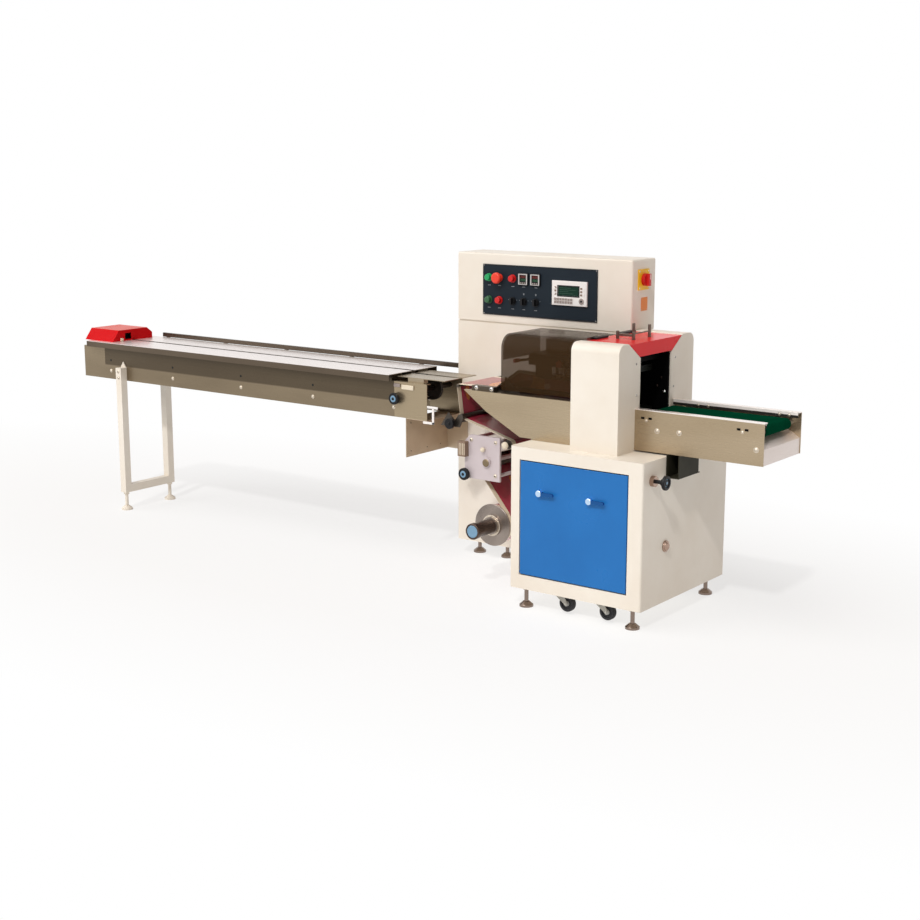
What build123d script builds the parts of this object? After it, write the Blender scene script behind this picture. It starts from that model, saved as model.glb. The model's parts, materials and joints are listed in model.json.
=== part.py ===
from build123d import *
from math import asin, atan2, cos, degrees, hypot, radians, sin
import os

# Horizontal flow wrapper with a bottom film reel, in millimetres.
# Origin: on the floor, under the middle of the line, on the product line.
# +X is the product flow, +Y the rear of the machine, +Z up.

# General
sheet = 3
seat_gap = 0.3
running_gap = 0.08
product_level = 896

# Rear housing and control box
housing_left = 278
housing_front = 179
housing_depth = 195
housing_bottom = 78
housing_top = 1121
housing_edge_radius = 8
plinth_height = 7
plinth_inset = 6
box_top = 1437
rear_panel_thickness = 9
rear_panel_margin = 40
rear_panel_gap = 24
louvre_count = 6
louvre_pitch = 26
louvre_length = 150
louvre_height = 8
louvre_rise = 80

# Seal cabinet with its drop-down door
cabinet_left = 962
cabinet_width = 635
cabinet_front = -365
cabinet_depth = 705
cabinet_bottom = 86
cabinet_top = 693
cabinet_edge_radius = 9
door_left_margin = 51
door_right_margin = 71
door_top_margin = 58
door_bottom_margin = 65
door_gap = 5
door_thickness = 20
door_pin_radius = 4
door_pin_inset = 8
door_pin_grip = 22
jamb_depth = 30
latch_drop = 125
latch_spread = 242
latch_shift = 36
latch_reach = 18
latch_boss_radius = 14
latch_lever_length = 66
latch_lever_width = 14
latch_lever_thickness = 7
latch_stem_radius = 5
latch_cam_thickness = 4

# Levelling feet and castors
foot_inset_x = 58
foot_inset_y = 42
foot_pad_radius = 30
foot_rim_height = 9
foot_dome_height = 13
foot_dome_taper = 50
foot_stem_radius = 9
foot_nut_radius = 15
foot_nut_height = 12
housing_foot_inset = 60
housing_foot_pitch = 162
castor_spacing = 196
castor_inset = 55
castor_trail = 38
wheel_radius = 35
wheel_width = 24
wheel_shoulder = 4
wheel_web_radius = 24
wheel_hub_radius = 11
wheel_web_depth = 5
wheel_lift = 10
axle_radius = 5
axle_head = 3
fork_sheet = 3
fork_wheel_gap = 2.5
fork_half_length = 26
swivel_gap = 1.5
swivel_stem_radius = 8
swivel_nut_radius = 13
swivel_nut_height = 8
fixed_plate_half = 32

# Handwheel and drive cap on the cabinet's outfeed side
handwheel_inset_y = 69
handwheel_drop = 80
handwheel_offset = 56
handwheel_radius = 30
handwheel_rim_width = 14
handwheel_shaft_radius = 8
handwheel_hub_radius = 13
handwheel_dish_radius = 18.6
bearing_radius = 22
bearing_length = 18
drive_cap_inset_y = 189
drive_cap_height = 322
drive_cap_radius = 24
drive_cap_length = 8

# End-seal covers, hood, frame and jaws
cover_right_inset = 160
cover_width = 225
front_cover_front = -300
front_cover_inner = -131
back_cover_inner = 120
back_cover_inset = 28
cover_top = 1137
cover_chamfer_y = 96
cover_chamfer_z = 66
cover_round = 38
cover_gap = 3
hood_sheet = 4
seal_hood_below = 4
seal_hood_drop = 60
post_radius = 7
post_top = 1166
rear_post_rise = 20
post_spacing_x = 76
post_spacing_y = 129
post_hole_gap = 1
post_tie_width = 12
post_tie_height = 10
hood_bar_width = 10
hood_bar_front = -200
hood_bar_back = -72
frame_sheet = 10
frame_inset = 6
crosshead_width = 120
crosshead_height = 30
jaw_bar_half = 95
jaw_reach = 40
jaw_bar_height = 24
jaw_shaft_radius = 16
jaw_opening = 90
jaw_rise = 20
serration_depth = 3
serration_pitch = 6
serration_count = 3

# Outfeed conveyor
line_end = 2010
outfeed_half = 168
outfeed_bottom = 700
outfeed_top = 870
outfeed_flange = 26
outfeed_slot_length = 16
outfeed_slot_height = 6
outfeed_slot_drop = 35
outfeed_slot_spread = 17
outfeed_first_slots = 54
outfeed_last_slots = 92
outfeed_roller_radius = 20
outfeed_journal_radius = 10
outfeed_roller_inset = 42
outfeed_drive_inset = 24
belt_half = 112
belt_thickness = 2.5
belt_level = 848
belt_bed_inset = 32
belt_cross_inset = 60
belt_cross_width = 30
end_guard_length = 60
end_guard_drop = 34
support_width = 58
support_front = -186
support_back = -20
support_drop = 93
support_lip = 12

# Infeed conveyor
infeed_start = -2010
infeed_end = 339
infeed_half = 133.5
infeed_bottom = 697
infeed_top = 862
infeed_flange = 30
bed_half = 178
bed_start = -1935
bed_end = 155
bed_lip = 30
slot_half = 12
slot_lip = 14
bearer_width = 40
bearer_height = 12
bearer_count = 6
bearer_inset = 95
riser_inner = 60
rail_y = 186
rail_gap = 10
rail_height = 26
rail_fold = 14
rail_start = -1740
rail_stand_count = 5
rail_stand_width = 24
leg_x = -1697
leg_width = 40
leg_bottom = 96
leg_overlap = 70
leg_point = 30
leg_point_thickness = 5
chain_width = 16
chain_height = 9
chain_top = 880
chain_drop = 110
chain_start_inset = 90
chain_end_inset = 70
sprocket_width = 8
sprocket_shaft_radius = 12
infeed_hood_start = -1985
infeed_hood_end = -1765
infeed_hood_half = 150
infeed_hood_top = 985
infeed_hood_chamfer = 48
infeed_window = 44
infeed_window_y = -52
bracket_x = 216
bracket_bottom = 514
bracket_reach = 60
transfer_end = 430
transfer_half = 118
transfer_drop = 12
transfer_foot = 30

# Film reel
film_half = 145
film_sheet = 1
reel_x = 720
reel_z = 274
reel_radius = 85
reel_disc_radius = 94
reel_disc_thickness = 8
reel_disc_gap = 2
reel_flange_radius = 47
reel_flange_length = 8
reel_hub_radius = 39
reel_hub_length = 18
reel_shaft_radius = 32
reel_cap_radius = 36
reel_cap_front = -306
reel_cap_length = 22
reel_cap_round = 4
reel_cap_recess_radius = 29
reel_cap_recess_depth = 3
reel_bearing_radius = 50
reel_bearing_length = 16

# Film rollers, as x, z and radius, and the plate that carries them
idler = (651, 540, 30)
tie_shaft = (706, 560, 10)
turn_roller = (798, 643, 20)
edge_bar = (547, 742, 10)
fold_bar = (524, 876, 6)
roller_journal_radius = 8
roller_half = 150
turn_roller_front = -172
plate_left = 585
plate_width = 188
plate_bottom = 477
plate_height = 195
plate_front = -177
plate_thickness = 12
plate_chamfer = 30
plate_hub_radius = 20
plate_hub_length = 10
standoff_radius = 8
standoff_inset = 22
clamp_knob_radius = 27
bracket_knob_radius = 24
clamp_knob_length = 16
clamp_knob_round = 3
plate_knob_drop = 19
clamp_stem_radius = 7
clamp_stem_length = 28
bar_bracket_x = 500
bar_bracket_z = 708
bar_bracket_left = 65
bar_bracket_right = 40
bar_bracket_low = 16
bar_bracket_high = 46
bar_bracket_apex = 23
bar_bracket_thickness = 6
bar_bracket_ear = 13
side_knob_x = 165
side_knob_z = 784

# Forming section and guard plate
guard_front = -218
guard_top = 877
guard_left = 609
guard_knee_x = 727
guard_knee_z = 793
guard_heel_x = 906
guard_return = 14
guard_foot = 6
guard_bar_left = 640
guard_bar_gap = 8
guard_bar_width = 34
guard_bar_height = 22
deck_drop = 3
flat_end = 720
tube_start = 900
tube_half = 42
fin_height = 15
fin_gap = 3
former_length = 81
former_height = 66
former_gap = 5

# Fin-seal unit under the smoked hood
fin_centre_x = 1010
fin_wheel_radius = 24
fin_wheel_thickness = 10
fin_wheel_pitch = 78
fin_wheel_count = 3
fin_wheel_rise = 2
fin_shaft_radius = 6
fin_head_left = 840
fin_head_right = 1135
fin_head_front = -62
fin_head_bottom = 988
fin_head_height = 48
fin_skirt_left = 879
fin_skirt_width = 78
fin_skirt_height = 50
fin_skirt_thickness = 8
heater_left = 850
heater_length = 150
heater_front = 60
heater_height = 50
star_knob_x = 1010
star_knob_z = 1004
star_knob_radius = 17
star_knob_length = 14
star_knob_lobes = 5
star_stem_radius = 6
star_stem_length = 8
lever_tip = (805, -80)
lever_root = (851, 75)
lever_z = 1005
lever_radius = 6
lever_grip_radius = 9
lever_grip_length = 28

# Smoked hood
smoked_left = 764
smoked_front = -157
smoked_thickness = 6
smoked_bend = 60
smoked_side_gap = 6
smoked_foot_gap = 5
smoked_notch_front = -70
smoked_notch_top = 1012
smoked_back_gap = 10
hinge_back_gap = 19
hinge_barrel_radius = 8
hinge_pin_radius = 4
hinge_barrel_length = 40
hinge_knuckle_length = 14
hinge_end_inset = 70
hinge_leaf = 1
hinge_leaf_depth = 26
hinge_block_height = 12

# Control panel and its instruments
panel_inset = 147
panel_width = 611
panel_drop = 49
panel_height = 228
panel_thickness = 4
button_radius = 14
button_height = 22
bezel_radius = 18
bezel_height = 5
mushroom_radius = 25
mushroom_height = 16
mushroom_round = 9.6
selector_wing = 10
high_row_rise = 169
low_row_rise = 68
column_offsets = (36, 93, 166, 226, 291)
meter_width = 50
meter_height = 54
meter_depth = 10
meter_frame = 8
terminal_inset = 381
terminal_width = 182
terminal_rise = 65
terminal_height = 108
terminal_depth = 9
screen_left = 34
screen_width = 106
screen_bottom = 44
screen_height = 40
screen_recess = 3
key_size = 10
key_height = 2
key_columns = 7
key_rows = 2
key_pitch_x = 14
key_pitch_z = 13
key_pad_radius = 13
isolator_inset_y = 87
isolator_drop = 87
isolator_plate_half = 44
isolator_plate_thickness = 6
isolator_knob_radius = 26
isolator_knob_height = 30
isolator_grip = 16

# Places worked out from the sizes above
cabinet_right = cabinet_left + cabinet_width
cabinet_back = cabinet_front + cabinet_depth
housing_back = housing_front + housing_depth
cover_right = cabinet_right - cover_right_inset
cover_left = cover_right - cover_width
housing_right = cover_left - cover_gap
door_left = cabinet_left + door_left_margin
door_right = cabinet_right - door_right_margin
door_bottom = cabinet_bottom + door_bottom_margin
door_top = cabinet_top - door_top_margin
pin_y = cabinet_front + door_pin_inset
pin_z = door_bottom + door_pin_inset
latch_z = door_top - latch_drop
latch_middle = (door_left + door_right) / 2 - latch_shift
castor_middle = cabinet_left + cabinet_width / 2
front_castor_y = cabinet_front + castor_inset
rear_castor_y = cabinet_back - castor_inset
wheel_z = wheel_radius + wheel_lift
fork_inner = wheel_width / 2 + fork_wheel_gap
handwheel_y = cabinet_front + handwheel_inset_y
handwheel_z = cabinet_top - handwheel_drop
jaw_x = (cover_left + cover_right) / 2
frame_top = cover_top - cover_chamfer_z
outfeed_drive_x = cover_right + outfeed_drive_inset
outfeed_end_x = line_end - outfeed_roller_inset
outfeed_axis_z = belt_level - belt_thickness - seat_gap - outfeed_roller_radius
back_cover_back = cabinet_back - back_cover_inset
panel_face = housing_front - panel_thickness
panel_left = housing_left + panel_inset
panel_bottom = box_top - panel_drop - panel_height
high_row = panel_bottom + high_row_rise
low_row = panel_bottom + low_row_rise
column_x = [panel_left + offset for offset in column_offsets]
terminal_left = panel_left + terminal_inset
terminal_bottom = panel_bottom + terminal_rise
terminal_face = panel_face - terminal_depth
isolator_y = housing_front + isolator_inset_y
isolator_z = box_top - isolator_drop
deck_top = guard_top - deck_drop
film_level = fold_bar[1] + fold_bar[2] + seat_gap
tube_side = film_half - 2 * tube_half + fin_gap / 2 - fin_height
fin_base = film_level + tube_side
hinge_y = housing_front - hinge_back_gap
hinge_z = housing_top - smoked_thickness - hinge_leaf - hinge_barrel_radius
smoked_right = cover_left - smoked_side_gap
smoked_back = hinge_y - smoked_back_gap
former_left = smoked_left + smoked_thickness + former_gap
smoked_bottom = guard_top + smoked_foot_gap


def span(a, b):
    return min(a, b), max(a, b)


def block(x0, x1, y0, y1, z0, z1):
    centre = ((x0 + x1) / 2, (y0 + y1) / 2, (z0 + z1) / 2)
    return Pos(*centre) * Box(abs(x1 - x0), abs(y1 - y0), abs(z1 - z0))


def rod_x(x0, x1, y, z, radius):
    return Pos((x0 + x1) / 2, y, z) * Rot(0, 90, 0) * Cylinder(radius, abs(x1 - x0))


def rod_y(x, y0, y1, z, radius):
    return Pos(x, (y0 + y1) / 2, z) * Rot(90, 0, 0) * Cylinder(radius, abs(y1 - y0))


def rod_z(x, y, z0, z1, radius):
    return Pos(x, y, (z0 + z1) / 2) * Cylinder(radius, abs(z1 - z0))


def side_profile(points, x0, x1):
    """Outline in Y and Z, extruded along X."""
    face = Plane.YZ * make_face(Polyline(*points, close=True))
    return Pos(x0, 0, 0) * extrude(face, x1 - x0)


def front_profile(points, y0, y1):
    """Outline in X and Z, extruded along Y."""
    face = Plane.XZ * make_face(Polyline(*points, close=True))
    return Pos(0, y1, 0) * extrude(face, y1 - y0)


def upright_edges(shape, x, y):
    """Vertical edges of a shape that stand at x, y."""
    picked = shape.edges().filter_by(Axis.Z)
    return [e for e in picked if abs(e.center().X - x) < 1 and abs(e.center().Y - y) < 1]


def group(solids):
    """Separate solids of one node."""
    return Compound([part for shape in solids for part in shape.solids()])


# Rear housing: an L-shaped cabinet whose upper part stands over the seal cabinet
def make_housing():
    outline = [
        (housing_left, housing_bottom),
        (cabinet_left, housing_bottom),
        (cabinet_left, cabinet_top),
        (housing_right, cabinet_top),
        (housing_right, housing_top),
        (housing_left, housing_top),
    ]
    body = front_profile(outline, housing_front, housing_back)
    edges = upright_edges(body, housing_left, housing_front)
    edges += upright_edges(body, housing_left, housing_back)
    return fillet(edges, housing_edge_radius)


def make_rear_panels():
    """Two lift-off panels on the back, the lower one with louvre slots."""
    low = housing_bottom + rear_panel_margin
    high = cabinet_top - rear_panel_gap / 2
    back = housing_back + rear_panel_thickness
    left = housing_left + rear_panel_margin
    lower = block(left, cabinet_left - rear_panel_margin, housing_back, back, low, high)
    upper = block(left, housing_right - rear_panel_margin, housing_back, back,
                  high + rear_panel_gap, housing_top - rear_panel_margin)
    middle = (left + cabinet_left - rear_panel_margin) / 2
    for n in range(louvre_count):
        z = low + louvre_rise + n * louvre_pitch
        lower -= block(middle - louvre_length / 2, middle + louvre_length / 2,
                       housing_back + sheet, back + sheet, z, z + louvre_height)
    return group([lower, upper])


def make_control_box():
    """Box on a recessed plinth, which leaves a shadow line above the housing."""
    box = block(housing_left, housing_right, housing_front, housing_back,
                housing_top + plinth_height, box_top)
    edges = box.edges().filter_by(Axis.Z) + box.faces().sort_by(Axis.Z)[-1].edges()
    box = fillet(edges, housing_edge_radius)
    plinth = block(housing_left + plinth_inset, housing_right - plinth_inset,
                   housing_front + plinth_inset, housing_back - plinth_inset,
                   housing_top, housing_top + plinth_height)
    return box + plinth


# Control panel with its buttons, meters and terminal
def make_control_panel():
    return block(panel_left, panel_left + panel_width, panel_face, housing_front,
                 panel_bottom, panel_bottom + panel_height)


def push_button(x, z):
    """Bezel ring and cap of one button on the panel face."""
    bezel = rod_y(x, panel_face - bezel_height, panel_face, z, bezel_radius)
    cap = rod_y(x, panel_face - button_height, panel_face, z, button_radius)
    cap = chamfer(cap.faces().sort_by(Axis.Y)[0].edges(), 2)
    return bezel + cap


def mushroom_button(x, z):
    front = panel_face - button_height
    head = rod_y(x, front - mushroom_height, front, z, mushroom_radius)
    head = fillet(head.faces().sort_by(Axis.Y)[0].edges(), mushroom_round)
    return push_button(x, z) + head


def selector(x, z):
    """Rotary selector: a bezel, a round base and a raised wing."""
    bezel = rod_y(x, panel_face - bezel_height, panel_face, z, bezel_radius)
    base = rod_y(x, panel_face - 2 * bezel_height, panel_face, z, button_radius)
    wing = block(x - selector_wing / 2, x + selector_wing / 2, panel_face - button_height,
                 panel_face, z - button_radius, z + button_radius)
    return bezel + base + wing


def make_meters():
    """Two framed temperature controllers with a recessed window."""
    meters = []
    front = panel_face - meter_depth
    z0, z1 = high_row - meter_height / 2, high_row + meter_height / 2
    for x in column_x[3:]:
        x0, x1 = x - meter_width / 2, x + meter_width / 2
        frame = block(x0, x1, front, panel_face, z0, z1)
        frame = chamfer(frame.faces().sort_by(Axis.Y)[0].edges(), 2)
        frame -= block(x0 + meter_frame, x1 - meter_frame, front - 1, front + screen_recess,
                       z0 + 2 * meter_frame, z1 - meter_frame)
        meters.append(frame)
    return group(meters)


def screen_box(near, far):
    x0 = terminal_left + screen_left
    z0 = terminal_bottom + screen_bottom
    return block(x0, x0 + screen_width, near, far, z0, z0 + screen_height)


def key(x, z):
    half = key_size / 2
    return block(x - half, x + half, terminal_face - key_height, terminal_face, z - half, z + half)


def make_terminal():
    """Operator terminal: frame, recessed window, key rows and a round key pad."""
    right = terminal_left + terminal_width
    body = block(terminal_left, right, terminal_face, panel_face,
                 terminal_bottom, terminal_bottom + terminal_height)
    body = chamfer(body.faces().sort_by(Axis.Y)[0].edges(), 2)
    body -= screen_box(terminal_face - 1, terminal_face + screen_recess)
    for column in range(key_columns):
        for row in range(key_rows):
            body += key(terminal_left + 2 * key_size + column * key_pitch_x,
                        terminal_bottom + key_size + key_size / 2 + row * key_pitch_z)
    for x in (terminal_left + key_size, right - 2 * key_size):
        for row in range(key_rows):
            body += key(x + key_size / 2, terminal_bottom + screen_bottom
                        + key_size + row * 2 * key_size)
    return body + rod_y(right - 2 * key_pad_radius, terminal_face - key_height, terminal_face,
                        terminal_bottom + key_pad_radius + key_size, key_pad_radius)


def make_screen():
    return screen_box(terminal_face + 1, terminal_face + screen_recess)


# Main switch on the outfeed end of the control box
def make_isolator_plate():
    half = isolator_plate_half
    return block(housing_right, housing_right + isolator_plate_thickness, isolator_y - half,
                 isolator_y + half, isolator_z - half, isolator_z + half)


def make_isolator_knob():
    """Round base with a cross grip."""
    base = housing_right + isolator_plate_thickness + seat_gap
    disc = rod_x(base, base + isolator_knob_height / 2, isolator_y, isolator_z,
                 isolator_knob_radius)
    disc = chamfer(disc.faces().sort_by(Axis.X)[-1].edges(), 2)
    grip = block(base, base + isolator_knob_height, isolator_y - isolator_grip / 2,
                 isolator_y + isolator_grip / 2, isolator_z - isolator_knob_radius,
                 isolator_z + isolator_knob_radius)
    return disc + grip


# Seal cabinet: a sheet box, open behind its door
def make_cabinet():
    outer = block(cabinet_left, cabinet_right, cabinet_front, cabinet_back,
                  cabinet_bottom, cabinet_top)
    outer = fillet(upright_edges(outer, cabinet_left, cabinet_front)
                   + upright_edges(outer, cabinet_right, cabinet_front), cabinet_edge_radius)
    inner = block(cabinet_left + sheet, cabinet_right - sheet, cabinet_front + sheet,
                  cabinet_back - sheet, cabinet_bottom + sheet, cabinet_top - sheet)
    inner = fillet(upright_edges(inner, cabinet_left + sheet, cabinet_front + sheet)
                   + upright_edges(inner, cabinet_right - sheet, cabinet_front + sheet),
                   cabinet_edge_radius - sheet)
    x0, x1 = door_left - door_gap, door_right + door_gap
    z0, z1 = door_bottom - door_gap, door_top + door_gap
    back = cabinet_front + jamb_depth
    jamb = block(x0 - sheet, x1 + sheet, cabinet_front, back, z0 - sheet, z1 + sheet)
    opening = block(x0, x1, cabinet_front - 1, back + 1, z0, z1)
    bore = rod_x(x0 - sheet - 1, x1 + sheet + 1, pin_y, pin_z, door_pin_radius + running_gap)
    cabinet = outer - inner + jamb - opening - bore
    for x in castor_places():
        cabinet -= rod_z(x, front_castor_y, cabinet_bottom - 1, cabinet_bottom + sheet + 1,
                         swivel_stem_radius + running_gap)
    return cabinet


def latch_places():
    return latch_middle - latch_spread / 2, latch_middle + latch_spread / 2


def make_door():
    """Folded pan that drops open on two pins at its lower corners."""
    back = cabinet_front + door_thickness
    pan = block(door_left, door_right, cabinet_front, back, door_bottom, door_top)
    pan = chamfer(pan.faces().sort_by(Axis.Y)[0].edges(), sheet / 2)
    pan -= block(door_left + sheet, door_right - sheet, cabinet_front + sheet, back + 1,
                 door_bottom + sheet, door_top - sheet)
    for side, x in ((-1, door_left), (1, door_right)):
        inner = x - side * door_pin_grip
        pan += rod_x(inner, x, pin_y, pin_z, door_pin_inset)
        pan += rod_x(inner, x + side * (door_gap + sheet), pin_y, pin_z, door_pin_radius)
    for x in latch_places():
        pan -= rod_y(x, cabinet_front - 1, cabinet_front + sheet + 1, latch_z,
                     latch_stem_radius + running_gap)
    return pan


def make_latch(x):
    """Turn latch: boss, lever to the right, stem and a cam behind the panel."""
    front = cabinet_front - latch_reach
    lever_back = front + latch_lever_thickness
    panel_back = cabinet_front + sheet + seat_gap
    boss = rod_y(x, front, cabinet_front - seat_gap, latch_z, latch_boss_radius)
    boss = fillet(boss.faces().sort_by(Axis.Y)[0].edges(), latch_lever_thickness / 2)
    lever = block(x, x + latch_lever_length, front, lever_back,
                  latch_z - latch_lever_width / 2, latch_z + latch_lever_width / 2)
    tip = rod_y(x + latch_lever_length, front, lever_back, latch_z, latch_lever_width / 2)
    stem = rod_y(x, front, panel_back, latch_z, latch_stem_radius)
    cam = rod_y(x, panel_back, panel_back + latch_cam_thickness, latch_z, latch_boss_radius)
    return boss + lever + tip + stem + cam


# Levelling feet
def foot(x, y, underside):
    """Domed pad, screwed stem and lock nut below an underside."""
    pad = rod_z(x, y, 0, foot_rim_height, foot_pad_radius)
    dome = Pos(x, y, foot_rim_height) * extrude(
        Circle(foot_pad_radius), foot_dome_height, taper=foot_dome_taper)
    stem = rod_z(x, y, foot_rim_height, underside, foot_stem_radius)
    nut = Pos(x, y, underside - foot_nut_height) * extrude(
        RegularPolygon(foot_nut_radius, 6), foot_nut_height)
    return pad + dome + stem + nut


def make_levelling_feet():
    feet = [foot(housing_left + housing_foot_inset + n * housing_foot_pitch,
                 housing_front + housing_depth / 2, housing_bottom) for n in range(2)]
    for x in (cabinet_left + foot_inset_x, cabinet_right - foot_inset_x):
        for y in (cabinet_front + foot_inset_y, cabinet_back - foot_inset_y):
            feet.append(foot(x, y, cabinet_bottom))
    return group(feet)


# Castors: the front pair swivels, the rear pair is fixed
def castor_places():
    return castor_middle - castor_spacing / 2, castor_middle + castor_spacing / 2


def fork(x, y, top):
    """Bent sheet fork over one wheel, with its axle."""
    outer = fork_inner + fork_sheet
    shape = block(x - fork_half_length, x + fork_half_length, y - outer, y + outer,
                  top - fork_sheet, top)
    axle_x = x + castor_trail
    nose = 2 * axle_radius
    for side in (-1, 1):
        y0, y1 = span(y + side * fork_inner, y + side * outer)
        shape += front_profile(
            [(x - fork_half_length, top), (x + fork_half_length, top),
             (axle_x + nose, wheel_z), (axle_x, wheel_z - nose), (axle_x - nose, wheel_z)], y0, y1)
    return shape + rod_y(axle_x, y - outer - axle_head, y + outer + axle_head, wheel_z, axle_radius)


def make_swivel_fork(x):
    """Fork on a stem that turns in the cabinet floor, held by a nut inside."""
    top = cabinet_bottom - swivel_gap
    floor = cabinet_bottom + sheet
    stem = rod_z(x, front_castor_y, top - 1, floor + swivel_nut_height, swivel_stem_radius)
    nut = rod_z(x, front_castor_y, floor + swivel_gap, floor + swivel_nut_height,
                swivel_nut_radius)
    return fork(x, front_castor_y, top) + stem + nut


def make_rear_forks():
    forks = []
    for x in castor_places():
        plate = block(x - fixed_plate_half, x + fixed_plate_half, rear_castor_y - fixed_plate_half,
                      rear_castor_y + fixed_plate_half, cabinet_bottom - swivel_gap, cabinet_bottom)
        forks.append(fork(x, rear_castor_y, cabinet_bottom - swivel_gap) + plate)
    return group(forks)


def make_wheel(x, y):
    """Castor wheel: tyre with round shoulders, recessed web and hub."""
    axle_x = x + castor_trail
    half = wheel_width / 2
    wheel = rod_y(axle_x, y - half, y + half, wheel_z, wheel_radius)
    wheel = fillet(wheel.edges().filter_by(GeomType.CIRCLE), wheel_shoulder)
    for side in (-1, 1):
        near, far = y + side * (half - wheel_web_depth), y + side * (half + 1)
        ring = rod_y(axle_x, near, far, wheel_z, wheel_web_radius)
        wheel -= ring - rod_y(axle_x, near - side, far + side, wheel_z, wheel_hub_radius)
    return wheel - rod_y(axle_x, y - wheel_width, y + wheel_width, wheel_z,
                         axle_radius + running_gap)


# Cabinet side: bearing for the handwheel, and a drive cap
def make_side_bosses():
    bearing = rod_x(cabinet_right, cabinet_right + bearing_length, handwheel_y, handwheel_z,
                    bearing_radius)
    bearing -= rod_x(cabinet_right - 1, cabinet_right + bearing_length + 1, handwheel_y,
                     handwheel_z, handwheel_shaft_radius + running_gap)
    cap = rod_x(cabinet_right, cabinet_right + drive_cap_length,
                cabinet_front + drive_cap_inset_y, drive_cap_height, drive_cap_radius)
    cap = fillet(cap.faces().sort_by(Axis.X)[-1].edges(), drive_cap_length / 2)
    return group([bearing, cap])


def make_handwheel():
    """Small dished handwheel with a hub on its shaft."""
    x0 = cabinet_right + handwheel_offset
    x1 = x0 + handwheel_rim_width
    rim = rod_x(x0, x1, handwheel_y, handwheel_z, handwheel_radius)
    rim = fillet(rim.edges().filter_by(GeomType.CIRCLE), handwheel_rim_width / 3)
    rim -= rod_x((x0 + x1) / 2, x1 + 1, handwheel_y, handwheel_z, handwheel_dish_radius)
    hub = rod_x(x0 - handwheel_hub_radius, x1 - 2, handwheel_y, handwheel_z, handwheel_hub_radius)
    shaft = rod_x(cabinet_right + 1, x0, handwheel_y, handwheel_z, handwheel_shaft_radius)
    return rim + hub + shaft


# End-seal covers: rounded at the outer top edge, sloped towards the hood between them
def seal_cover(inner, outer):
    turn = 1 if outer > inner else -1
    body = side_profile([(inner, cabinet_top), (outer, cabinet_top), (outer, cover_top),
                         (inner + turn * cover_chamfer_y, cover_top), (inner, frame_top)],
                        cover_left, cover_right)
    edge = [e for e in body.edges().filter_by(Axis.X)
            if abs(e.center().Y - outer) < 1 and abs(e.center().Z - cover_top) < 1]
    return fillet(edge, cover_round)


def post_places():
    return [(jaw_x + i * post_spacing_x / 2, j * post_spacing_y / 2)
            for i in (-1, 1) for j in (-1, 1)]


def make_seal_hood():
    """Folded red hood wedged between the sloped shoulders of the covers."""
    slope = cover_chamfer_y / cover_chamfer_z
    top, low = cover_top - seal_hood_below, cover_top - seal_hood_drop

    def edges_at(z, inset):
        reach = (z - frame_top) * slope - cover_gap - inset
        return front_cover_inner - reach, back_cover_inner + reach

    y0, y1 = edges_at(top, 0)
    y2, y3 = edges_at(low, 0)
    hood = side_profile([(y2, low), (y3, low), (y1, top), (y0, top)], cover_left, cover_right)
    y0, y1 = edges_at(top - hood_sheet, 2 * hood_sheet)
    y2, y3 = edges_at(low - 1, 2 * hood_sheet)
    hood -= side_profile([(y2, low - 1), (y3, low - 1), (y1, top - hood_sheet),
                          (y0, top - hood_sheet)],
                         cover_left + hood_sheet, cover_right - hood_sheet)
    for x, y in post_places():
        hood -= rod_z(x, y, low - 1, top + 1, post_radius + post_hole_gap)
    return hood


def make_seal_frame():
    """Two side frames on the cabinet top, a base and a crosshead under the posts."""
    x0, x1 = cover_left + frame_inset, cover_right - frame_inset
    frame = block(x0, x1, front_cover_inner, back_cover_inner, cabinet_top,
                  cabinet_top + 2 * frame_sheet)
    frame += block(x0, x1, front_cover_inner, front_cover_inner + frame_sheet,
                   cabinet_top, frame_top)
    frame += block(x0, x1, back_cover_inner - frame_sheet, back_cover_inner,
                   cabinet_top, frame_top)
    return frame + block(jaw_x - crosshead_width / 2, jaw_x + crosshead_width / 2,
                         front_cover_inner, back_cover_inner, frame_top - crosshead_height,
                         frame_top)


def jaw(z):
    """Rotary jaw: a shaft with two bars, serrated across their sealing faces."""
    shaft = rod_y(jaw_x, front_cover_inner + frame_sheet, back_cover_inner - frame_sheet, z,
                  jaw_shaft_radius)
    bar = block(jaw_x - jaw_reach, jaw_x + jaw_reach, -jaw_bar_half, jaw_bar_half,
                z - jaw_bar_height / 2, z + jaw_bar_height / 2)
    for side in (-1, 1):
        for n in range(serration_count):
            middle = z + (n - (serration_count - 1) / 2) * serration_pitch
            bar -= block(jaw_x + side * (jaw_reach - serration_depth),
                         jaw_x + side * (jaw_reach + serration_depth), -jaw_bar_half - 1,
                         jaw_bar_half + 1, middle - serration_pitch / 4,
                         middle + serration_pitch / 4)
    return shaft + bar


def make_jaws():
    middle = product_level + jaw_rise
    return group([jaw(middle - jaw_opening), jaw(middle + jaw_opening)])


def make_posts():
    """Four posts, the two ties between their tops and a bar on the hood's left edge."""
    half_x, half_y, half = post_spacing_x / 2, post_spacing_y / 2, post_tie_width / 2
    posts = block(jaw_x - half_x, jaw_x + half_x, -half_y - half, -half_y + half,
                  post_top - 2 * post_tie_height, post_top - post_tie_height)
    posts += block(jaw_x + half_x - half / 2, jaw_x + half_x + half / 2, -half_y, half_y,
                   post_top - post_tie_height, post_top - post_tie_height / 2)
    for x, y in post_places():
        top = post_top + rear_post_rise if y > 0 else post_top
        post = rod_z(x, y, frame_top, top, post_radius)
        posts += chamfer(post.faces().sort_by(Axis.Z)[-1].edges(), 1.5)
    hood_top = cover_top - seal_hood_below
    bar = block(cover_left, cover_left + hood_bar_width, hood_bar_front, hood_bar_back,
                hood_top, hood_top + post_tie_height)
    return group([posts, bar])


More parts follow.
